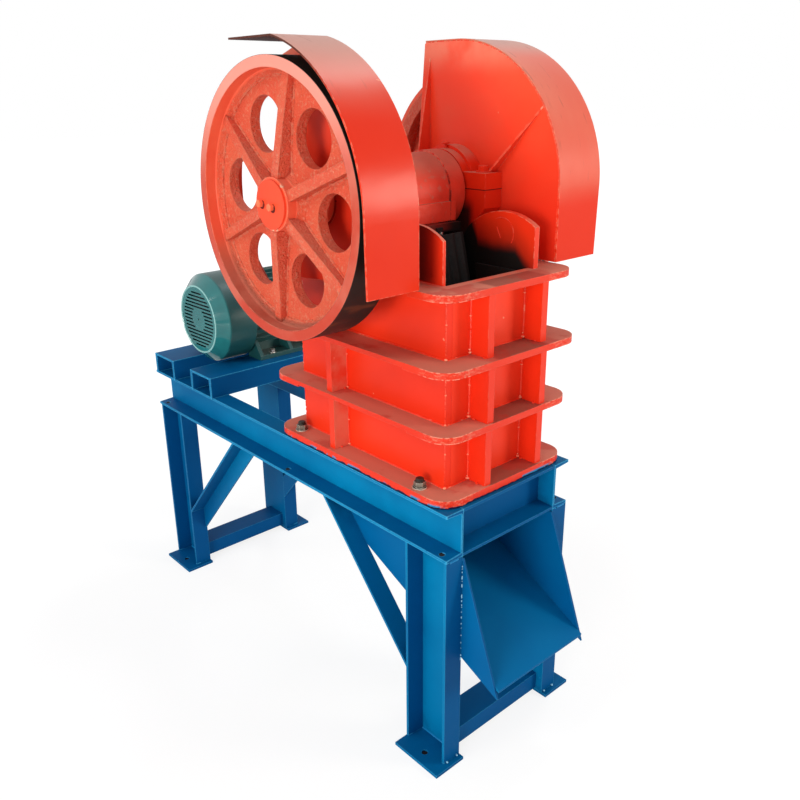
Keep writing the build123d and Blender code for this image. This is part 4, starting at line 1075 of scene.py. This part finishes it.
mesh = bmesh.new()
noise = random.Random(12)
for low in RING_TOPS[:3]:
    for side in (-1, 1):
        for y in (SIDE_RIB_Y - half - 2.0, BODY_FRONT - 2.0):
            blob(mesh, (side * (BODY_X + 2.0), y, low + 3.0), 3.6, noise)
            blob(mesh, (side * (BODY_X + 1.5), y, low + noise.uniform(60, 100)), 2.4, noise)
    for x in FRONT_RIBS_X:
        blob(mesh, (x - half - 2.0, BODY_FRONT - 2.0, low + 4.0), 4.4, noise)
        blob(mesh, (x - half - 1.5, BODY_FRONT - 1.5, low + noise.uniform(60, 110)), 3.0, noise)
        blob(mesh, (x - half - 3.5, BODY_FRONT - 2.5, low + noise.uniform(8, 14)), 2.6, noise)
settle("pale_tacks", mesh, WELD_PALE)

# Welds at the legs' feet and tops

mesh = bmesh.new()
for side in (-1, 1):
    web, tip = side * CHANNEL_WEB_X, side * CHANNEL_TIP_X
    for middle in LEGS_Y:
        near, far = middle - LEG_HALF, middle + LEG_HALF
        x, z = web + side * 4, FOOT_TOP + 1.0
        bead(mesh, [(x, near + 9, z), (x, far - 9, z)], 2.6, 411)
        for y in (near + 3.5, far - 3.5):
            z = FOOT_TOP + 0.5
            bead(mesh, [(tip - side * 16, y, z), (tip + side * 1, y, z)], 3.4, 420 + int(y))
        level = BEAM_BOTTOM - 1
        ends = [(web + side * 6, near - 0.5, level), (tip - side * 4, near - 0.5, level)]
        bead(mesh, ends, 2.2, 430, gap=0.2)
settle("blue_welds", mesh, WELD_BLUE)

# Pale spots of weld down the front legs' inner corners and on their foot plates

mesh = bmesh.new()
noise = random.Random(21)
front = LEGS_Y[0] - LEG_HALF
for side in (-1, 1):
    x, y = side * (CHANNEL_WEB_X - 0.5), front - 0.1
    bead(mesh, [(x, y, 285.0), (x, y, 560.0)], 1.5, 431, gap=0.5)
    for out in (172.0, 206.0):
        blob(mesh, (side * out, front - 2.0, FOOT_TOP + 2.0), 3.0, noise)
settle("pale_blue_spots", mesh, WELD_SKY)

# The line of weld between each guard's plate and its band

mesh = bmesh.new()
for guard in GUARDS.values():
    centre = Vector((0, guard["y"], guard["z"]))
    x = guard["side"] * (GUARD_X + 0.4)
    radius = guard["r"] - 3.6
    points = arc(centre, radius, guard["level_from"], 180, x, 44)
    points.insert(0, (x, guard["rear"], points[0][2]))
    points.append((x, centre.y - radius, GUARD_FOOT))
    bead(mesh, points, 1.5, 510 + guard["side"], gap=0.22)
settle("guard_welds", mesh, WELD_RED)

# The crescent and slit on the inside of the right ear

mesh = bmesh.new()
crescent = Vector((EAR_FACE_X, -500.0, 1249.0))
bead(mesh, arc(crescent, 36.0, 60, 215, EAR_FACE_X, 26), 1.6, 611)
bead(mesh, [(EAR_FACE_X, -484.0, 1262.0), (EAR_FACE_X, -497.0, 1236.0)], 1.4, 621)
settle("ear_marks", mesh, SMOOTH_RED)


# Camera, light and floor

scene = bpy.context.scene
scene.view_settings.view_transform = "Standard"
WARM = (1.0, 0.93, 0.86)
AMBER = (1.0, 0.89, 0.74)

CAMERA_AT = Vector((-1.3355, -1.772, 1.5664))
YAW, PITCH, ROLL = 41.565, 19.968, -0.650
FOCAL, CENTRE_X, CENTRE_Y = 814.607, 395.41, 386.72
FRAME_SIZE = 800
SENSOR = 36.0
lens = bpy.data.cameras.new("camera")
camera = bpy.data.objects.new("camera", lens)
scene.collection.objects.link(camera)
scene.camera = camera
lens.sensor_width = SENSOR
lens.lens = FOCAL / FRAME_SIZE * SENSOR
lens.shift_x = (FRAME_SIZE / 2 - CENTRE_X) / FRAME_SIZE
lens.shift_y = (CENTRE_Y - FRAME_SIZE / 2) / FRAME_SIZE
yaw, pitch, roll = math.radians(YAW), math.radians(PITCH), math.radians(ROLL)
ahead = Vector((math.sin(yaw) * math.cos(pitch), math.cos(yaw) * math.cos(pitch), -math.sin(pitch)))
level = Vector((math.cos(yaw), -math.sin(yaw), 0))
upright = level.cross(ahead)
right = level * math.cos(roll) + upright * math.sin(roll)
up = upright * math.cos(roll) - level * math.sin(roll)
view = Matrix((right, up, -ahead)).transposed().to_4x4()
view.translation = CAMERA_AT
camera.matrix_world = view


def area_light(name, at, target, size, power, tint=(1.0, 1.0, 1.0)):
    lamp = bpy.data.lights.new(name, "AREA")
    lamp.shape = "SQUARE"
    lamp.size = size
    lamp.energy = power
    lamp.color = tint
    made = bpy.data.objects.new(name, lamp)
    made.location = at
    made.rotation_euler = (Vector(target) - Vector(at)).to_track_quat("-Z", "Y").to_euler()
    scene.collection.objects.link(made)


area_light("key", (-5.1, -2.25, 1.4), (0, -0.1, 0.9), 1.9, 160, WARM)
area_light("window", (-4.5, 0.3, 4.7), (0, -0.1, 0.9), 1.7, 82, WARM)
area_light("fill", (3.1, -4.1, 1.9), (0, -0.3, 1.1), 1.3, 114, AMBER)
area_light("top", (2.8, 0.35, 5.5), (0, -0.1, 1.0), 1.0, 42)


def shader_node(tree, kind, **values):
    """A node with its plain inputs set; an underscore in a name stands for a space."""
    made = tree.nodes.new(kind)
    for name, value in values.items():
        made.inputs[name.replace("_", " ")].default_value = value
    return made


def mixed(tree, share, first, second, end):
    """The first shader where the share is 0 and the second where it is 1, led to the tree's end."""
    choose = shader_node(tree, "ShaderNodeMixShader")
    for source, socket in zip((share, first.outputs[0], second.outputs[0]), choose.inputs):
        tree.links.new(source, socket)
    tree.links.new(choose.outputs[0], tree.nodes[end].inputs["Surface"])


# Soft light from all round; the lens, glossy paint and glass see plain white instead

world = bpy.data.worlds.new("studio")
scene.world = world
world.use_nodes = True
tree = world.node_tree
lit = tree.nodes["Background"]
lit.inputs["Color"].default_value = (0.92, 0.95, 1.0, 1)
lit.inputs["Strength"].default_value = 0.50
seen = shader_node(tree, "ShaderNodeBackground", Color=(1, 1, 1, 1), Strength=1.0)
paths = shader_node(tree, "ShaderNodeLightPath")
share = paths.outputs["Is Camera Ray"]
for kind in ("Is Glossy Ray", "Is Transmission Ray"):
    most = shader_node(tree, "ShaderNodeMath")
    most.operation = "MAXIMUM"
    tree.links.new(share, most.inputs[0])
    tree.links.new(paths.outputs[kind], most.inputs[1])
    share = most.outputs[0]
mixed(tree, share, lit, seen, "World Output")

# The floor keeps the shadow near the part and fades to white away from it

floor_mesh = bpy.data.meshes.new("floor")
plane = bmesh.new()
bmesh.ops.create_grid(plane, x_segments=1, y_segments=1, size=30)
plane.to_mesh(floor_mesh)
plane.free()
floor = bpy.data.objects.new("floor", floor_mesh)
scene.collection.objects.link(floor)
floor_paint = bpy.data.materials.new("floor")
floor_paint.use_nodes = True
tree = floor_paint.node_tree
matt = tree.nodes["Principled BSDF"]
matt.inputs["Base Color"].default_value = (0.86, 0.86, 0.86, 1)
matt.inputs["Roughness"].default_value = 0.9
glow = shader_node(tree, "ShaderNodeEmission", Strength=1.12)
paths = shader_node(tree, "ShaderNodeLightPath")
coordinates = shader_node(tree, "ShaderNodeTexCoord")
distance = shader_node(tree, "ShaderNodeVectorMath")
distance.operation = "LENGTH"
whiten = shader_node(tree, "ShaderNodeMapRange", From_Min=0.9, From_Max=2.6, To_Min=0.72, To_Max=1.0)
share = shader_node(tree, "ShaderNodeMath")
share.operation = "MULTIPLY"
tree.links.new(coordinates.outputs["Object"], distance.inputs[0])
tree.links.new(distance.outputs["Value"], whiten.inputs["Value"])
tree.links.new(paths.outputs["Is Camera Ray"], share.inputs[0])
tree.links.new(whiten.outputs["Result"], share.inputs[1])
mixed(tree, share.outputs[0], matt, glow, "Material Output")
floor_mesh.materials.append(floor_paint)
